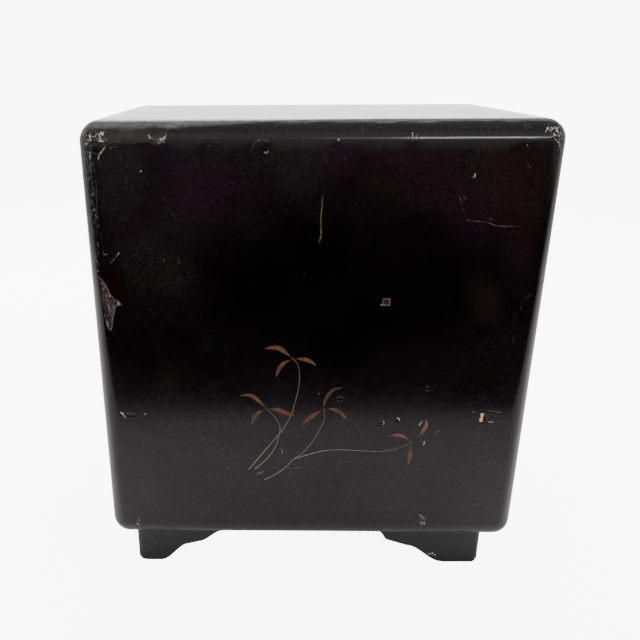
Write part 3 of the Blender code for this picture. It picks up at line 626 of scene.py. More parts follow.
def refine(made, wanted):
    """Splits faces until each is as small as wanted(centres, sizes) asks where it lies."""
    for _ in range(5):
        faces = list(made.faces)
        centres = np.array([f.calc_center_median() for f in faces])
        sizes = np.array([max(e.calc_length() for e in f.edges) for f in faces])
        split = [f for f, size, goal in zip(faces, sizes, wanted(centres, sizes)) if size > goal]
        if not split:
            break
        edges = list({e for f in split for e in f.edges if e.calc_length() > SHORTEST_EDGE})
        result = bmesh.ops.subdivide_edges(made, edges=edges, cuts=1, use_grid_fill=True)
        new = {v for v in result["geom_inner"] + result["geom_split"] if isinstance(v, bmesh.types.BMVert)}
        new |= {v for e in result["geom_inner"] if isinstance(e, bmesh.types.BMEdge) for v in e.verts}
        new = list(new)
        for v, co in zip(new, on_box(points_of(new), CASE_RADIUS + COAT)[0]):
            v.co = co


def segments(points, path):
    """For each segment of a path: how far along it each point is, the distance to it, and its length."""
    for a, b in zip(path[:-1], path[1:]):
        length = np.linalg.norm(b - a)
        t = np.clip((points - a) @ (b - a) / length**2, 0, 1)
        yield t, np.linalg.norm(points - (a + t[:, None] * (b - a)), axis=1), length


def outline_distance(points, outline):
    """Signed distance in x and z from points to an outline in millimetres, negative inside it."""
    outline, flat = outline * MM, points[:, [0, 2]]
    closed = np.vstack([outline, outline[:1]])
    best = np.min([distance for _, distance, _ in segments(flat, closed)], axis=0)
    inside = np.zeros(len(points), bool)
    for a, b in zip(closed[:-1], closed[1:]):
        crosses = (a[1] > flat[:, 1]) != (b[1] > flat[:, 1])
        rise = b[1] - a[1] if b[1] != a[1] else 1e-12
        inside ^= crosses & (flat[:, 0] < (b[0] - a[0]) * (flat[:, 1] - a[1]) / rise + a[0])
    return np.where(inside, -best, best)


def path_distance(points, path):
    """Distance in x and z from points on the back to a path in millimetres, and the share of its length there."""
    best, share, run = np.full(len(points), 1e9), np.zeros(len(points)), 0.0
    for t, distance, length in segments(points[:, [0, 2]], path * MM):
        near = distance < best
        best, share = np.where(near, distance, best), np.where(near, run + t * length, share)
        run += length
    return best + (points[:, 1] <= BACK_FACE_REACH), share / run


def wanted_size(centres, sizes):
    """The face size that the marks near each point need."""
    goal = np.full(len(centres), PLAIN_FACE)
    back = centres[:, 1] > BACK_FACE_REACH

    def want(near, size):
        goal[near] = np.minimum(goal[near], size)

    spots = [(x, y, z, radius, CHIP_FACE if radius < 1 else BIG_CHIP_FACE) for _, x, y, z, radius, _ in CHIPS]
    spots += [(x, BACK_Y / MM, z, radius * 1.2, LINE_FACE) for _, x, z, radius, _ in PITS]
    spots += [(x, BACK_Y / MM, z, radius * 1.3, CHIP_FACE) for x, z, radius in RINGS]
    for x, y, z, radius, size in spots:
        want(np.linalg.norm(centres - np.array((x, y, z)) * MM, axis=1) < radius * MM * 1.35 + sizes * 0.75, size)
    for _, width, _, path in LINES:
        want(path_distance(centres, path)[0] < width * MM + sizes * 0.7, LINE_FACE)
    for mask, _, _, outline in AREAS:
        distance = outline_distance(centres, outline)
        if mask not in ("crumble", "orange"):
            distance = np.abs(distance)
        if mask != "veil":
            want(back & (distance < 0.0005 + sizes * 0.6), AREA_FACE)
    for x, z in OPEN_PEGS:
        square = np.maximum(np.abs(centres[:, 0] - x), np.abs(centres[:, 2] - z))
        want(back & (square < 0.003 + sizes * 0.6), AREA_FACE)
    return goal


def unevenness(points):
    """How far the hand-laid coat stands out of true, in metres."""
    return (0.04 * value_noise(points, 0.055, 5) + 0.016 * value_noise(points, 0.021, 6)) * MM


# How the coat turns into the front opening and ends there: (inset from the opening's sides, y)
LIP = ((0.00014, -0.06721), (0.00021, -0.06708), (0.00023, -0.0668), (0.00022, -0.064), (0.00014, -0.0613),
       (0.00004, -0.061), (0.00002, -0.0612), (0.00002, -0.0669))


def close_coat(made, rim, holes):
    """Gives the coat its lip round the opening and its inner side, joined at the opening and the peg holes."""
    inner = rounded_sheet(None, CASE_RADIUS + COAT_LIFT, edge_steps=3)
    inner_mesh = bpy.data.meshes.new("inner")
    inner.to_mesh(inner_mesh)
    inner.free()
    first = len(made.faces)
    made.from_mesh(inner_mesh)
    bpy.data.meshes.remove(inner_mesh)
    made.faces.ensure_lookup_table()
    inner_loops = loops_of(made.faces[first:])
    inner_rim = max(inner_loops, key=lambda loop: max((e.verts[0].co - e.verts[1].co).length for e in loop))
    inner_holes = [loop for loop in inner_loops if loop is not inner_rim]
    edges = rim
    for inset, y in LIP:
        result = bmesh.ops.extrude_edge_only(made, edges=edges)
        new = [g for g in result["geom"] if isinstance(g, bmesh.types.BMVert)]
        edges = [g for g in result["geom"] if isinstance(g, bmesh.types.BMEdge) and all(v in new for v in g.verts)]
        for v in new:
            if OPENING_X - abs(v.co.x) < 0.0005:
                v.co.x = math.copysign(OPENING_X - inset, v.co.x)
            for side, z in zip((1, -1), OPENING_Z):
                if abs(v.co.z - z) < 0.0005:
                    v.co.z = z + side * inset
            v.co.y = y
    bmesh.ops.bridge_loops(made, edges=list(edges) + list(inner_rim))
    for loop in holes:
        middle = sum((e.verts[0].co for e in loop), loop[0].verts[0].co * 0) / len(loop)
        match = min(inner_holes, key=lambda other: (other[0].verts[0].co - middle).length)
        bmesh.ops.bridge_loops(made, edges=list(loop) + list(match))
    bmesh.ops.recalc_face_normals(made, faces=made.faces)


def wear_masks(points, edge):
    """Each mask at the coat's points, and how deep the wear has cut there. Edge is how far a point is into an edge."""
    depth = np.zeros(len(points))
    masks = {name: np.zeros(len(points)) for name in MASKS}
    back = points[:, 1] > BACK_FACE_REACH
    off_back = (~back) * 9  # Keeps the marks of the back to the back
    x_mm, z_mm = points[:, 0] / MM, points[:, 2] / MM
    ragged = 0.34 * value_noise(points, 0.0011, 1) + 0.22 * value_noise(points, 0.0004, 2)
    broad = 0.35 * value_noise(points, 0.0042, 3)

    def mark(kind, mask, deep=0.0):
        masks[kind] = np.maximum(masks[kind], mask)
        np.maximum(depth, mask * deep * MM, out=depth)

    for kind, strength, deep, outline in AREAS:
        blur = 2.5 if kind == "veil" else 0.22
        mask = 1 - smooth(outline_distance(points, outline) / MM + ragged * 0.7, -blur, blur)
        mark(kind, mask * back * strength, deep * (0.8 + 0.35 * value_noise(points, 0.0009, 4)))
    for kind, x, z, across, up, strength in TINTS:
        distance = np.hypot((x_mm - x) / across, (z_mm - z) / up) + 0.25 * value_noise(points, 0.009, 14)
        mark(kind, (1 - smooth(distance, 0.35, 1.15)) * back * strength)
    for kind, x, y, z, radius, deep in CHIPS:
        distance = np.linalg.norm(points - np.array((x, y, z)) * MM, axis=1) / (radius * MM)
        mark(kind, 1 - smooth(distance + (ragged + broad) * 0.9, 0.72, 1.0), deep)
    for kind, x, z, radius, side in PITS:
        # Painted shade and highlight: a pit's floor is painted dark as shade, and one side of its rim pale as a
        # highlight
        dx, dz = -(x_mm - x) / radius, (z_mm - z) / radius
        distance = np.hypot(dx, dz) + off_back
        toward_highlight = np.cos(np.arctan2(dz, dx) - math.radians(side))
        highlight_rim = (1 - smooth(np.abs(distance - 0.8 + 0.2 * ragged), 0.12, 0.34)) * smooth(toward_highlight, 0.0, 0.6)
        mark(kind, highlight_rim, 0.02)
        mark("crack", (1 - smooth(distance + 0.3 * ragged, 0.6, 1.05)) * (1 - highlight_rim), 0.16)
    broken = 0.3 + 0.7 * smooth(value_noise(points, 0.0014, 9), -0.5, 0.2)
    for kind, width, deep, path in LINES:
        distance, share = path_distance(points, path)
        taper = 0.55 + 0.45 * np.sin(np.pi * np.clip(share, 0.02, 0.98))
        mark(kind, (1 - smooth(distance / (width * MM * 0.5 * taper) + 0.9 * ragged, 0.6, 1.6)) * broken, deep)
    for x, z, radius in RINGS:
        distance = np.hypot(x_mm - x, z_mm - z) / radius + off_back
        mark("faint", broken * (1 - smooth(np.abs(distance - 0.8) + 0.25 * ragged, 0.1, 0.3)), 0.04)
    for x, z in OPEN_PEGS:
        square = np.maximum(np.abs(points[:, 0] - x), np.abs(points[:, 2] - z)) / MM + off_back
        mark("tan", (1 - smooth(square + 0.4 * ragged, 1.92, 2.2)) * (0.12 if x > -0.05 else 0.1), 0.1)

    # The left and right edges are speckled more than the rest
    speckle = edge * smooth(points[:, 1], 0.06, 0.071) * smooth(points[:, 0], 0.086, 0.098)
    speckle *= 0.35 + 0.75 * smooth(points[:, 2], 0.16, 0.185)
    speckle += 0.2 * edge * (points[:, 1] < 0.06)
    # The middle of the back is the cleanest, and dust lies thicker on the lower back
    off_middle = np.hypot((points[:, 0] + 0.015) / 0.075, (points[:, 2] - 0.16) / 0.046)
    calm = (1 - smooth(off_middle + 0.2 * value_noise(points, 0.016, 15), 0.55, 1.1)) * back
    film = (0.3 + 0.45 * (1 - smooth(points[:, 2], 0.085, 0.11))) * (1 - 0.8 * calm)
    # A pale line lies along the top of the back edge, reaching lower towards +x
    reach = 0.0012 + 0.0022 * smooth(points[:, 0], 0.03, 0.07)
    reach += 0.0005 * value_noise(points, 0.009, 12) + 0.0003 * value_noise(points, 0.002, 13)
    drop = CASE_CENTRE[2] + CASE_HALF[2] - points[:, 2]
    rim = (1 - smooth(drop, reach * 0.55, reach)) * smooth(points[:, 1], 0.06, 0.066)
    masks |= {"edge": edge, "speckle": np.clip(speckle, 0, 1), "calm": calm, "rim": rim,
              "film": np.where(back, film, 0.3)}
    return masks, depth


def make_coat():
    made = rounded_sheet(0.0045, CASE_RADIUS + COAT, edge_steps=6)
    refine(made, wanted_size)
    outer_verts = list(made.verts)
    loops = loops_of(list(made.faces))
    rim = max(loops, key=len)
    close_coat(made, rim, [loop for loop in loops if len(loop) < len(rim)])

    # Wear and unevenness
    points = points_of(outer_verts)
    _, away = on_box(points, CASE_RADIUS)
    rim_verts = {v for e in rim for v in e.verts}
    free = np.array([0.0 if v in rim_verts else 1.0 for v in outer_verts])
    edge = smooth(np.sort(away**2, axis=1)[:, 1] * 2, 0.0, 0.75)
    masks, depth = wear_masks(points, edge)
    dents = 0.05 * edge * value_noise(points, 0.012, 7) * MM
    crumbs = 0.05 * masks["crumble"] * value_noise(points, 0.0009, 8) * MM
    lift = free * (unevenness(points) + dents + crumbs - np.minimum(depth, COAT * 0.85))
    for v, co in zip(outer_verts, points + away * lift[:, None]):
        v.co = co
    made.verts.index_update()
    places = np.array([v.index for v in outer_verts])
    count = len(made.verts)
    mesh = mesh_of("case_coat", made, 60)
    for name, mask in masks.items():
        values = np.zeros(count, np.float32)
        values[places] = mask * (free if name in MASKS else 1)
        mesh.attributes.new(name, "FLOAT", "POINT").data.foreach_set("value", values)
    return mesh


def add_piece(name, mesh, material, body):
    piece = link(name, mesh)
    mesh.materials.append(material)
    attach(piece, body)
    return piece


coat_lacquer = lacquer("coat_lacquer", BLACK, 1, gloss=0.11, wear=0.8, fields=True)
add_piece("case_coat", make_coat(), coat_lacquer, "case")

# Sprigs --------------------

# Leaves from node to tip, and stems: (width, tone, x, z of each point)
SPRIGS = paths(
    leaf=((2.7, 0, 10.9, 125.4, 14.2, 128.2, 17.8, 130.8, 21.3, 131, 24.6, 130.5), (2.4, 0.5, 10.6, 125.2, 5.5, 125,
    2.1, 123.7, -0.4, 121.6), (2.3, 0.4, 10.9, 125, 14.4, 123.6, 17.1, 120.8, 19, 115.5), (2.3, 0.6, 23.5, 98.4, 26.8,
    102, 30.5, 105.3, 33.5, 105.9, 36.8, 105.2), (2.9, 0.15, 23.3, 98.5, 18.8, 97.9, 14.4, 96.1, 9.6, 94.7), (2.5,
    1.2, 23.9, 98.1, 27.2, 96.4, 29.5, 93.9, 31.1, 89), (2, 1.5, -4.7, 97.6, -4.9, 101.8, -6.4, 105.7, -9.2, 108.9,
    -13.4, 110.1), (2.8, 0.45, -4.3, 97.8, -1, 95.9, 2.2, 93.2, 6.1, 89.3), (2.7, 1.2, -4.9, 97.8, -9, 98.3, -12.7,
    96.5, -16.6, 92.2), (2, 2.2, -48.9, 79.8, -46, 82.4, -42.5, 83.8, -37.4, 83.4), (2.8, 1.7, -48.9, 79.8, -49, 75.9,
    -48.8, 70.8, -48.4, 66.2), (2.5, 2, -51.5, 82.4, -54, 85.4, -55.7, 89.2, -55.3, 93)),
    stem=((0, 3, 11.4, 125.9, 8.7, 122.6, 7.6, 116.6, 7.9, 110.6, 9.6, 101.7, 11.7, 94.1, 16.2, 85.6, 24.3, 74.7,
    32.7, 63.3), (0, 3, 23.7, 98.5, 18.7, 92.6, 16.8, 87, 17.4, 83.4, 18.7, 77.7, 21.8, 71.8, 25.6, 67.4, 29.5, 63.6),
    (0, 3, -4.9, 97.6, -4.9, 92, -2.5, 85.7, 1, 79.2, 5.3, 73.4, 9.7, 69.7, 13.5, 65.2, 17.3, 61.8, 21.1, 59.2, 24.6,
    57.4), (0, 3, -49.9, 80.2, -44.9, 77.3, -40, 75.4, -33.8, 74.3, -26.2, 74.6, -18.6, 75, -11, 75.2, -3.5, 74.2,
    2.8, 72.2, 9.7, 69.7), (0, 3, 28.8, 60.7, 25, 62.2)),
)
SPRIG_SINK = 0.00005
SPRIG_RISE = 0.00013
LEAF_STEPS = 26
# A ridge's section from side to side: (place across, height)
RIDGE_SECTION = ((-1, 0.0), (-0.62, 0.72), (0.0, 1.0), (0.62, 0.72), (1, 0.0))


def ridge(made, layers, line, widths, tone):
    """A low ridge of lacquer along a line on the back face, closed underneath."""
    tangent = np.gradient(line, axis=0)
    tangent /= np.linalg.norm(tangent, axis=1)[:, None]
    side = np.stack([-tangent[:, 1], tangent[:, 0]], 1)
    rings = []
    for point, across, width in zip(line, side, widths):
        ring = []
        for u, lift in RIDGE_SECTION:
            x, z = (point + across * u * width / 2) * MM
            base = BACK_Y + COAT + unevenness(np.array([(x, BACK_Y + COAT, z)]))[0] - SPRIG_SINK
            vert = made.verts.new((x, base + SPRIG_RISE * lift * min(1.0, width / 0.7), z))
            for layer, value in zip(layers, (tone, lift, len(rings) / (len(line) - 1))):
                vert[layer] = value
            ring.append(vert)
        rings.append(ring)
    for a, b in zip(rings[:-1], rings[1:]):
        for i in range(len(a)):
            j = (i + 1) % len(a)
            made.faces.new((a[i], a[j], b[j], b[i]))
    made.faces.new(rings[0])
    made.faces.new(rings[-1][::-1])


def curve_through(points, count):
    """A smooth line through points, by chord length."""
    if len(points) == 2:
        return points[0] + np.linspace(0, 1, count)[:, None] * (points[1] - points[0])
    run = np.concatenate([[0], np.cumsum(np.linalg.norm(np.diff(points, axis=0), axis=1))])
    slopes = np.gradient(points, run, axis=0)
    out = []
    for s in np.linspace(0, run[-1], count):
        k = min(np.searchsorted(run, s, side="right") - 1, len(run) - 2)
        h = run[k + 1] - run[k]
        t = (s - run[k]) / h
        out.append((2 * t**3 - 3 * t**2 + 1) * points[k] + (t**3 - 2 * t**2 + t) * h * slopes[k]
                   + (-2 * t**3 + 3 * t**2) * points[k + 1] + (t**3 - t**2) * h * slopes[k + 1])
    return np.array(out)


def make_sprigs():
    made = bmesh.new()
    layers = [made.verts.layers.float.new(name) for name in ("tone", "heart", "along")]
    dice = np.random.default_rng(11)
    for kind, width, tone, path in SPRIGS:
        count = LEAF_STEPS
        if kind == "stem":
            length = np.linalg.norm(np.diff(path, axis=0), axis=1).sum()
            count = max(8, int(length / 0.9))
        share = np.linspace(0, 1, count)
        if kind == "leaf":
            widths = 0.34 + width * np.sin(np.pi * np.clip((share - 0.12) / 0.88, 0, 1) ** 0.9) ** 1.1
            widths[-1] = 0.1
            widths *= 1 + 0.05 * dice.uniform(-1, 1, count)
        else:
            widths = 0.44 + 0.22 * smooth(share, 0.45, 1.0) + 0.06 * dice.uniform(-1, 1, count)
            widths[0], widths[-1] = 0.34, 0.45
        ridge(made, layers, curve_through(path, count), widths, float(tone))
    bmesh.ops.recalc_face_normals(made, faces=made.faces)
    return mesh_of("maki_e_sprigs", made, 50)


def sprig_material():
    """Gold and red lacquer, worn to its black ground in places. Tones up to 0.75 are leaves, 1 is a stem."""
    s = Shading("maki_e")
    place = s.place()
    worn = s.noise(place, 1300, 4, 0.65)
    blotch = s.noise(place, 850, 3, 0.65)
    grain = s.noise(place, 3500, 2, 0.5)
    tone, along = s.field("tone") * (1 / 3), s.field("along")
    leaf, stem = s.span(tone, 0.75, 0.8, 1.0, 0.0), s.span(tone, 0.8, 0.95)
    s.colour = s.ramp(tone, ((0.0, (0.16, 0.044, 0.007)), (0.17, (0.125, 0.034, 0.014)), (0.4, (0.062, 0.036, 0.018)),
                             (0.5, (0.045, 0.032, 0.019)), (0.62, (0.15, 0.062, 0.038)), (1.0, (0.21, 0.175, 0.15))))
    s.paint(leaf * s.span(along - blotch * 0.3, -0.05, 0.38, 0.85, 0.0), (0.058, 0.046, 0.026))
    s.paint(leaf * s.span(blotch, 0.5, 0.6, 0.0, 0.6), (0.27, 0.105, 0.03))
    s.paint(leaf * s.span(worn, 0.49, 0.56, 0.0, 0.8), (0.03, 0.012, 0.006))
    dark = s.mix(s.span(tone, 0.75, 0.95), (0.016, 0.008, 0.006), (0.1, 0.08, 0.07))
    s.paint(s.span(s.field("heart") + worn * 0.9, 0.72, 1.15, 0.95, 0.0), dark)
    s.paint(stem * s.span(along, 0.05, 0.55, 0.75, 0.0), (0.085, 0.068, 0.045))
    s.paint(stem * s.span(blotch, 0.48, 0.62, 0.0, 0.55), (0.085, 0.07, 0.055))
    s.paint(s.span(grain, 0.55, 0.7, 0.0, 0.12), (0.5, 0.33, 0.17))
    s.rough, s.height = s.span(worn, 0.3, 0.7, 0.6, 0.38), worn
    return s.finish(0.4, 0.0002, Metallic=s.span(grain, 0.4, 0.7, 0.05, 0.35))


add_piece("maki_e_sprigs", make_sprigs(), sprig_material(), "case")

# Finishes for the CAD's own pieces --------------------


def peg_head(name, low, high, bare_from=0.2, rim_share=1.0):
    """A peg from low to high whose head is still lacquered, but for its pale rim, painted brighter on one side as a
    highlight, and the part past x = bare_from.
    """
    s = Shading(f"{name}_wood")
    x, z = (low[0] + high[0]) / 2, (low[2] + high[2]) / 2
    grain = s.noise(s.place(stretch=(1, 0.1, 1)), 2600, 4, 0.65)
    across, _, up = s.axes()
    bare = s.span(across + grain * 0.0008, bare_from + 0.0003, bare_from + 0.0005)
    rim = s.span(s.most(abs(across - x), abs(up - z)) + grain * 0.0006, 0.0015, 0.00172)
    # Painted highlight: the pale rim is brightest on one side
    highlight_side = s.span((x - across) * 0.7 + (z - up), -0.0024, 0.0006, 0.45, 1.0)
    broken = s.span(s.noise(s.place(), 950, 2, 0.5), 0.4, 0.6, rim_share * 0.45, rim_share)
    s.colour = s.ramp(grain, ((0.38, (0.004, 0.002, 0.0015)), (0.62, (0.034, 0.017, 0.007))))
    s.paint(rim * highlight_side * broken, (0.24, 0.192, 0.13))
    s.paint(bare, ((0.3, (0.55, 0.26, 0.11)), (0.6, (0.84, 0.52, 0.28))), grain)
    s.rough, s.height = s.span(bare, 0.0, 1.0, 0.45, 0.8), grain
    return s.finish(0.5, 0.0002, Specular_IOR_Level=0.2)


def box_of(node):
    places = np.array([v.co for v in node.data.vertices])
    return places.min(0).tolist(), places.max(0).tolist()


def drawer_part(name):
    """What a node is in its drawer, such as front, or nothing where it isn't in one."""
    return next((name.removeprefix(f"{drawer}_") for drawer in DRAWERS if name.startswith(f"{drawer}_")), "")


def soften(node, width, steps, angle):
    """Rounds a node's edges that are sharper than an angle in degrees."""
    bevel = node.modifiers.new("soft_edges", "BEVEL")
    bevel.width, bevel.segments = width, steps
    bevel.limit_method, bevel.angle_limit = "ANGLE", math.radians(angle)
    return bevel


# The lower pegs: (x past which the head is bare wood, strength of its pale rim)
LOWER_PEGS = {"peg_lower_left": (-0.0832, 0.35), "peg_lower_right": (0.2, 0.35)}
# Chips on the back rail's foot, in millimetres: x, z, radius
FOOT_CHIPS = ((-67.6, 5.6, 0.7), (-69.2, 4.6, 0.5), (-65.8, 5.2, 0.4), (-91.5, 2.4, 0.5), (-83.5, 0.2, 0.6),
              (-87.0, 0.3, 0.5))

interior = lacquer("interior_lacquer", BROWN_BLACK, 2, gloss=0.38, wear=0.35)
edge_lacquer = lacquer("shelf_lacquer", BLACK, 3, gloss=0.22, wear=0.55)
along_x, along_y = wood("drawer_wood_x", 0, 1), wood("drawer_wood_y", 1, 2)
metal = brass("aged_brass")

for seed, (name, node) in enumerate(nodes.items()):
    part = drawer_part(name)
    is_shelf = name.endswith("shelf") or name == "drawer_divider"
    if name.startswith("peg_"):
        finish = peg_head(name, *box_of(node), *LOWER_PEGS.get(name, ()))
    elif name.startswith("base_"):
        chips = FOOT_CHIPS if name == "base_back_rail" else ()
        finish = lacquer(f"{name}_lacquer", BLACK, 40 + seed, gloss=0.24, wear=0.6, box=box_of(node), chips=chips)
    elif part.startswith("pull_"):
        finish = metal
    elif part == "front":
        finish = lacquer(f"{name}_lacquer", BLACK, 10 + seed, gloss=0.14, wear=0.6, box=box_of(node),
                         knocks=PULLS[name.removesuffix("_front")])
    elif part:
        finish = along_y if part in ("left", "right") else along_x
    else:
        finish = edge_lacquer if is_shelf else interior
    node.data.materials.clear()
    node.data.materials.append(finish)
    if name.startswith("base_") or part == "front" or is_shelf:
        soften(node, 0.0005, 2, 40).harden_normals = True

# The pulls, finer than the CAD's --------------------

EYE_Y = -0.0708
PLATE_BACK_Y = -0.0673
WIRE_RADIUS = 0.00089
PLATE_STEPS, RING_STEPS, WIRE_STEPS = 72, 96, 18
# The plate from its hole to its rim: (radius, height, how dark the hollow) in millimetres
PLATE_PROFILE = ((1.6, 0.02, 1), (1.6, 0.8, 1), (1.68, 0.94, 0.5), (1.85, 1, 0), (2.25, 0.985, 0), (2.4, 0.9, 0.8),
    (2.52, 0.9, 1), (2.66, 0.955, 0.3), (3.1, 0.9, 0), (3.6, 0.8, 0), (4.1, 0.67, 0), (4.55, 0.54, 0.2), (4.8, 0.44,
    0.9), (4.95, 0.42, 1), (5.1, 0.49, 0.4), (5.35, 0.55, 0), (5.65, 0.53, 0), (5.88, 0.42, 0), (5.98, 0.25, 0.2),
    (5.98, 0.08, 0.6), (5.9, 0.02, 1))


def round_turn(count):
    return np.linspace(0, 2 * np.pi, count + 1)[:-1]


def wheel(name, x, z, sections):
    """A closed mesh round x, z from its sections, one for each turn: rows of (distance out, y, how dark the hollow)."""
    made = bmesh.new()
    layer = made.verts.layers.float.new("hollow")
    lines = []
    for turn, section in zip(round_turn(len(sections)), sections):
        lines.append([made.verts.new((x + out * math.cos(turn), y, z + out * math.sin(turn))) for out, y, _ in section])
        for vert, (_, _, dark) in zip(lines[-1], section):
            vert[layer] = dark
    for a, b in zip(lines, lines[1:] + lines[:1]):
        for i in range(len(a)):
            j = (i + 1) % len(a)
            made.faces.new((a[i], b[i], b[j], a[j]))
    bmesh.ops.recalc_face_normals(made, faces=made.faces)
    return mesh_of(name, made)


def plate_mesh(name, x, z, dice):
    dents = [1 + 0.002 * dice.uniform(-1, 1) for _ in range(PLATE_STEPS)]
    return wheel(name, x, z, [[(r * MM, PLATE_BACK_Y - h * MM * dent, dark) for r, h, dark in PLATE_PROFILE]
                              for dent in dents])


def ring_mesh(name, x, z, dice):
    """A forged ring: its wire swells and thins a little, and is worn where the eye holds it."""
    sections = []
    phase = dice.uniform(0, 2 * np.pi, 3)
    for turn in round_turn(RING_STEPS):
        swell = 0.985 + 0.01 * math.sin(3 * turn + phase[0]) + 0.005 * math.sin(11 * turn + phase[1])
        worn = math.exp(-(((turn - np.pi / 2) / 0.1) ** 2))
        wire = WIRE_RADIUS * swell * (1 - 0.06 * worn)
        sections.append([(RING_RADIUS + wire * math.cos(around), EYE_Y + wire * math.sin(around), 0.6 * worn)
                         for around in round_turn(WIRE_STEPS)])
    return wheel(name, x, z - RING_RADIUS, sections)


for number, (drawer, (x, z)) in enumerate(PULLS.items()):
    dice = np.random.default_rng(60 + number)
    name = f"{drawer}_turned_plate"
    plate = add_piece(name, plate_mesh(name, x, z, dice), metal, drawer)
    name = f"{drawer}_forged_ring"
    ring = add_piece(name, ring_mesh(name, x, z, dice), metal, f"{drawer}_ring")
    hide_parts(f"{drawer}_pull_plate")
    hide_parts(f"{drawer}_pull_ring")
    soften(nodes[f"{drawer}_pull_post"], 0.00028, 3, 50)

# Stage --------------------


def plane(name, axis, at, low, high, material, hidden=()):
    """A flat rectangle across an axis, which rays of the hidden kinds don't see."""
    made = bmesh.new()
    corners = [[u, v] for u, v in ((low[0], low[1]), (high[0], low[1]), (high[0], high[1]), (low[0], high[1]))]
    for corner in corners:
        corner.insert("xyz".index(axis), at)
    made.faces.new([made.verts.new(corner) for corner in corners])
    thing = link(name, mesh_of(name, made))
    thing.data.materials.append(material)
    for kind in hidden:
        setattr(thing, f"visible_{kind}", False)


def clear_paper():
    """Pale paper that fades out far from the chest, and is bright to the camera."""
    s = Shading("pale_paper")
    tone = s.ramp(s.noise(s.place(), 6, 3), ((0.3, (0.86, 0.86, 0.87)), (0.7, (0.9, 0.9, 0.9))))
    s.fill(s.shader.inputs["Base Color"], tone)
    s.fill(s.shader.inputs["Roughness"], 0.85)
    seen = s.node("ShaderNodeLightPath", out="Is Camera Ray")
    lift = s.node("ShaderNodeEmission", {"Strength": seen * 8.0})
    bright = s.node("ShaderNodeAddShader", {0: Value(s, s.shader.outputs[0]), 1: lift})
    distance = s.node("ShaderNodeVectorMath", {0: s.place()}, out="Value", operation="LENGTH")
    s.blend(s.span(distance, 0.55, 1.35), bright, s.node("ShaderNodeBsdfTransparent"))
    return s.material


def back_velvet():
    """What the lower back reflects: dark velvet with a faint red glow near the chest and another far from it."""
    s = Shading("flag_velvet")
    across, depth, _ = s.axes()
    middle = s.span(across, -0.4, -0.16) * s.span(across, -0.02, 0.2, 1.0, 0.0)
    # The glow keeps to what the back reflects, so that the sides don't show it
    right_end = s.span(across - depth * 0.3, 0.12, 0.22, 1.0, 0.0)
    left_end = s.span(across + depth * 0.43, -0.22, -0.12)
    shine = s.span(depth - middle * 0.5, 0.66, 0.86, 0.0, 0.12) * (right_end * left_end)
    shine = shine + s.span(depth, 0.22, 0.3, 0.14, 0.0)
    tint = s.ramp(s.span(across, -0.5, 0.3), ((0.0, (0.85, 0.2, 0.28)), (0.45, (0.85, 0.3, 0.44)),
                                              (1.0, (0.85, 0.42, 0.6))))
    glowing = s.node("ShaderNodeEmission", {"Color": tint, "Strength": shine})
    share = s.span(depth, 0.1, 0.245, 0.04, 0.44) + s.span(depth, 0.24, 0.262, 0.0, 0.58)
    s.blend(share, s.node("ShaderNodeBsdfTransparent", {"Color": (0.88, 0.8, 0.83)}), glowing)
    return s.material


def front_velvet():
    """A dark card before the drawers, as narrow as what they reflect."""
    s = Shading("front_flag_velvet")
    across, depth, _ = s.axes()
    cover = s.span(abs(across) + depth * 0.42, 0.07, 0.13, 1.0, 0.0) * s.span(depth, -0.3, -0.1, 0.72, 0.05)
    s.blend(cover, s.node("ShaderNodeBsdfTransparent"), s.node("ShaderNodeEmission", {"Strength": 0.0}))
    return s.material


def glow(name, strength):
    s = Shading(name)
    s.show(s.node("ShaderNodeEmission", {"Color": (1, 1, 1), "Strength": strength}))
    return s.material


plane("floor", "z", 0, (-1.5, -1.5), (1.5, 1.5), clear_paper())
plane("flag", "z", 0.002, (-1.5, 0.1), (1.5, 3.0), back_velvet(), ("camera", "shadow", "diffuse"))
plane("front_flag", "z", 0.002, (-0.9, -1.6), (0.9, -0.1), front_velvet(), ("camera", "shadow", "diffuse"))
# Bright cards: (name, axis, place, low, high, strength)
for name, *where, strength in (
        ("back_card", "y", -1.3, (-1.6, 0.15), (1.6, 0.75), 3.2),
        ("side_card_-1", "x", -0.95, (-1.1, 0.0), (0.04, 0.9), 0.9),
        ("side_card_1", "x", 0.95, (-1.1, 0.0), (0.04, 0.9), 0.9),
        ("strip_card", "y", 2.0, (-0.9, 0.72), (-0.46, 0.95), 12.0),
        ("strip_end", "y", 2.0, (-0.46, 0.74), (-0.16, 0.9), 2.5),
        ("high_card", "y", 2.2, (-1.6, 0.8), (1.6, 2.6), 0.66)):
    plane(name, *where, glow(name, strength), ("camera", "shadow"))

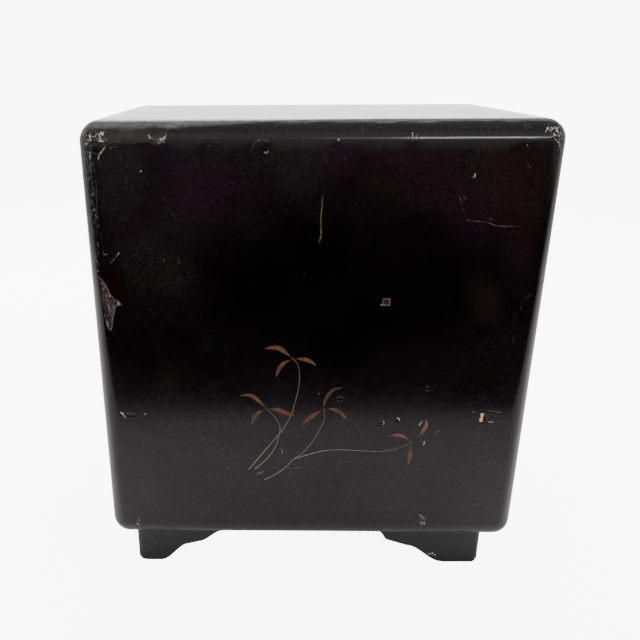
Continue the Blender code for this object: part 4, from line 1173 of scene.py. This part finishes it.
# The world is white to the camera, and dim as a light
world = bpy.data.worlds.new("studio")
scene.world = world
world.use_nodes = True
tree = world.node_tree
tree.nodes.clear()
either, out = tree.nodes.new("ShaderNodeMixShader"), tree.nodes.new("ShaderNodeOutputWorld")
tree.links.new(tree.nodes.new("ShaderNodeLightPath").outputs["Is Camera Ray"], either.inputs[0])
for slot, colour, strength in ((1, (1, 0.97, 0.96, 1), 0.45), (2, (1, 1, 1, 1), 9.0)):
    sky = tree.nodes.new("ShaderNodeBackground")
    sky.inputs["Color"].default_value, sky.inputs["Strength"].default_value = colour, strength
    tree.links.new(sky.outputs[0], either.inputs[slot])
tree.links.new(either.outputs[0], out.inputs["Surface"])

# Soft lights aimed at the chest: (name, place, size, power, seen in reflections)
AIM = Matrix.Translation((0, 0, 0.1)).to_translation()
for name, place, size, power, glossy in (
        ("top_light", (0.0, -0.3, 1.5), 1.4, 26, False), ("left_light", (1.3, 0.8, 1.0), 0.9, 10, False),
        ("right_light", (-1.3, 0.9, 0.9), 0.9, 8, False), ("front_light", (0.3, -1.4, 0.9), 0.9, 8, True)):
    data = bpy.data.lights.new(name, "AREA")
    data.shape, data.size, data.energy = "DISK", size, power
    lamp = link(name, data)
    lamp.location = place
    lamp.rotation_mode = "QUATERNION"
    lamp.rotation_quaternion = (lamp.location - AIM).to_track_quat("Z", "Y")
    lamp.visible_glossy, lamp.visible_camera = glossy, False

# Camera: fitted to the photograph's 640 x 640 frame
LENS_PIXELS = 672.3
IMAGE = 640
CENTRE_PIXEL = 255.0
SENSOR_WIDTH = 36.0
YAW, PITCH, ROLL = -0.01997, 0.35744, -0.0058
EYE = np.array((0.02311, 0.36908, 0.25564))
LEVEL_LOOK = np.array(((1, 0, 0), (0, 0, -1), (0, 1, 0)))


def turned(axis, angle):
    return np.array(Matrix.Rotation(angle, 3, axis))


right, down, forward = (turned("Z", ROLL) @ turned("X", PITCH) @ LEVEL_LOOK @ turned("Z", YAW)
                        @ np.diag((-1, -1, 1)))
camera_data = bpy.data.cameras.new("camera")
camera_data.sensor_width = SENSOR_WIDTH
camera_data.lens = LENS_PIXELS / IMAGE * SENSOR_WIDTH
camera_data.shift_x = (IMAGE / 2 - CENTRE_PIXEL) / IMAGE
camera_data.clip_start = 0.01
camera = link("camera", camera_data)
placing = np.eye(4)
placing[:3] = np.column_stack([right, -down, -forward, EYE])
camera.matrix_world = Matrix(placing)
scene.camera = camera
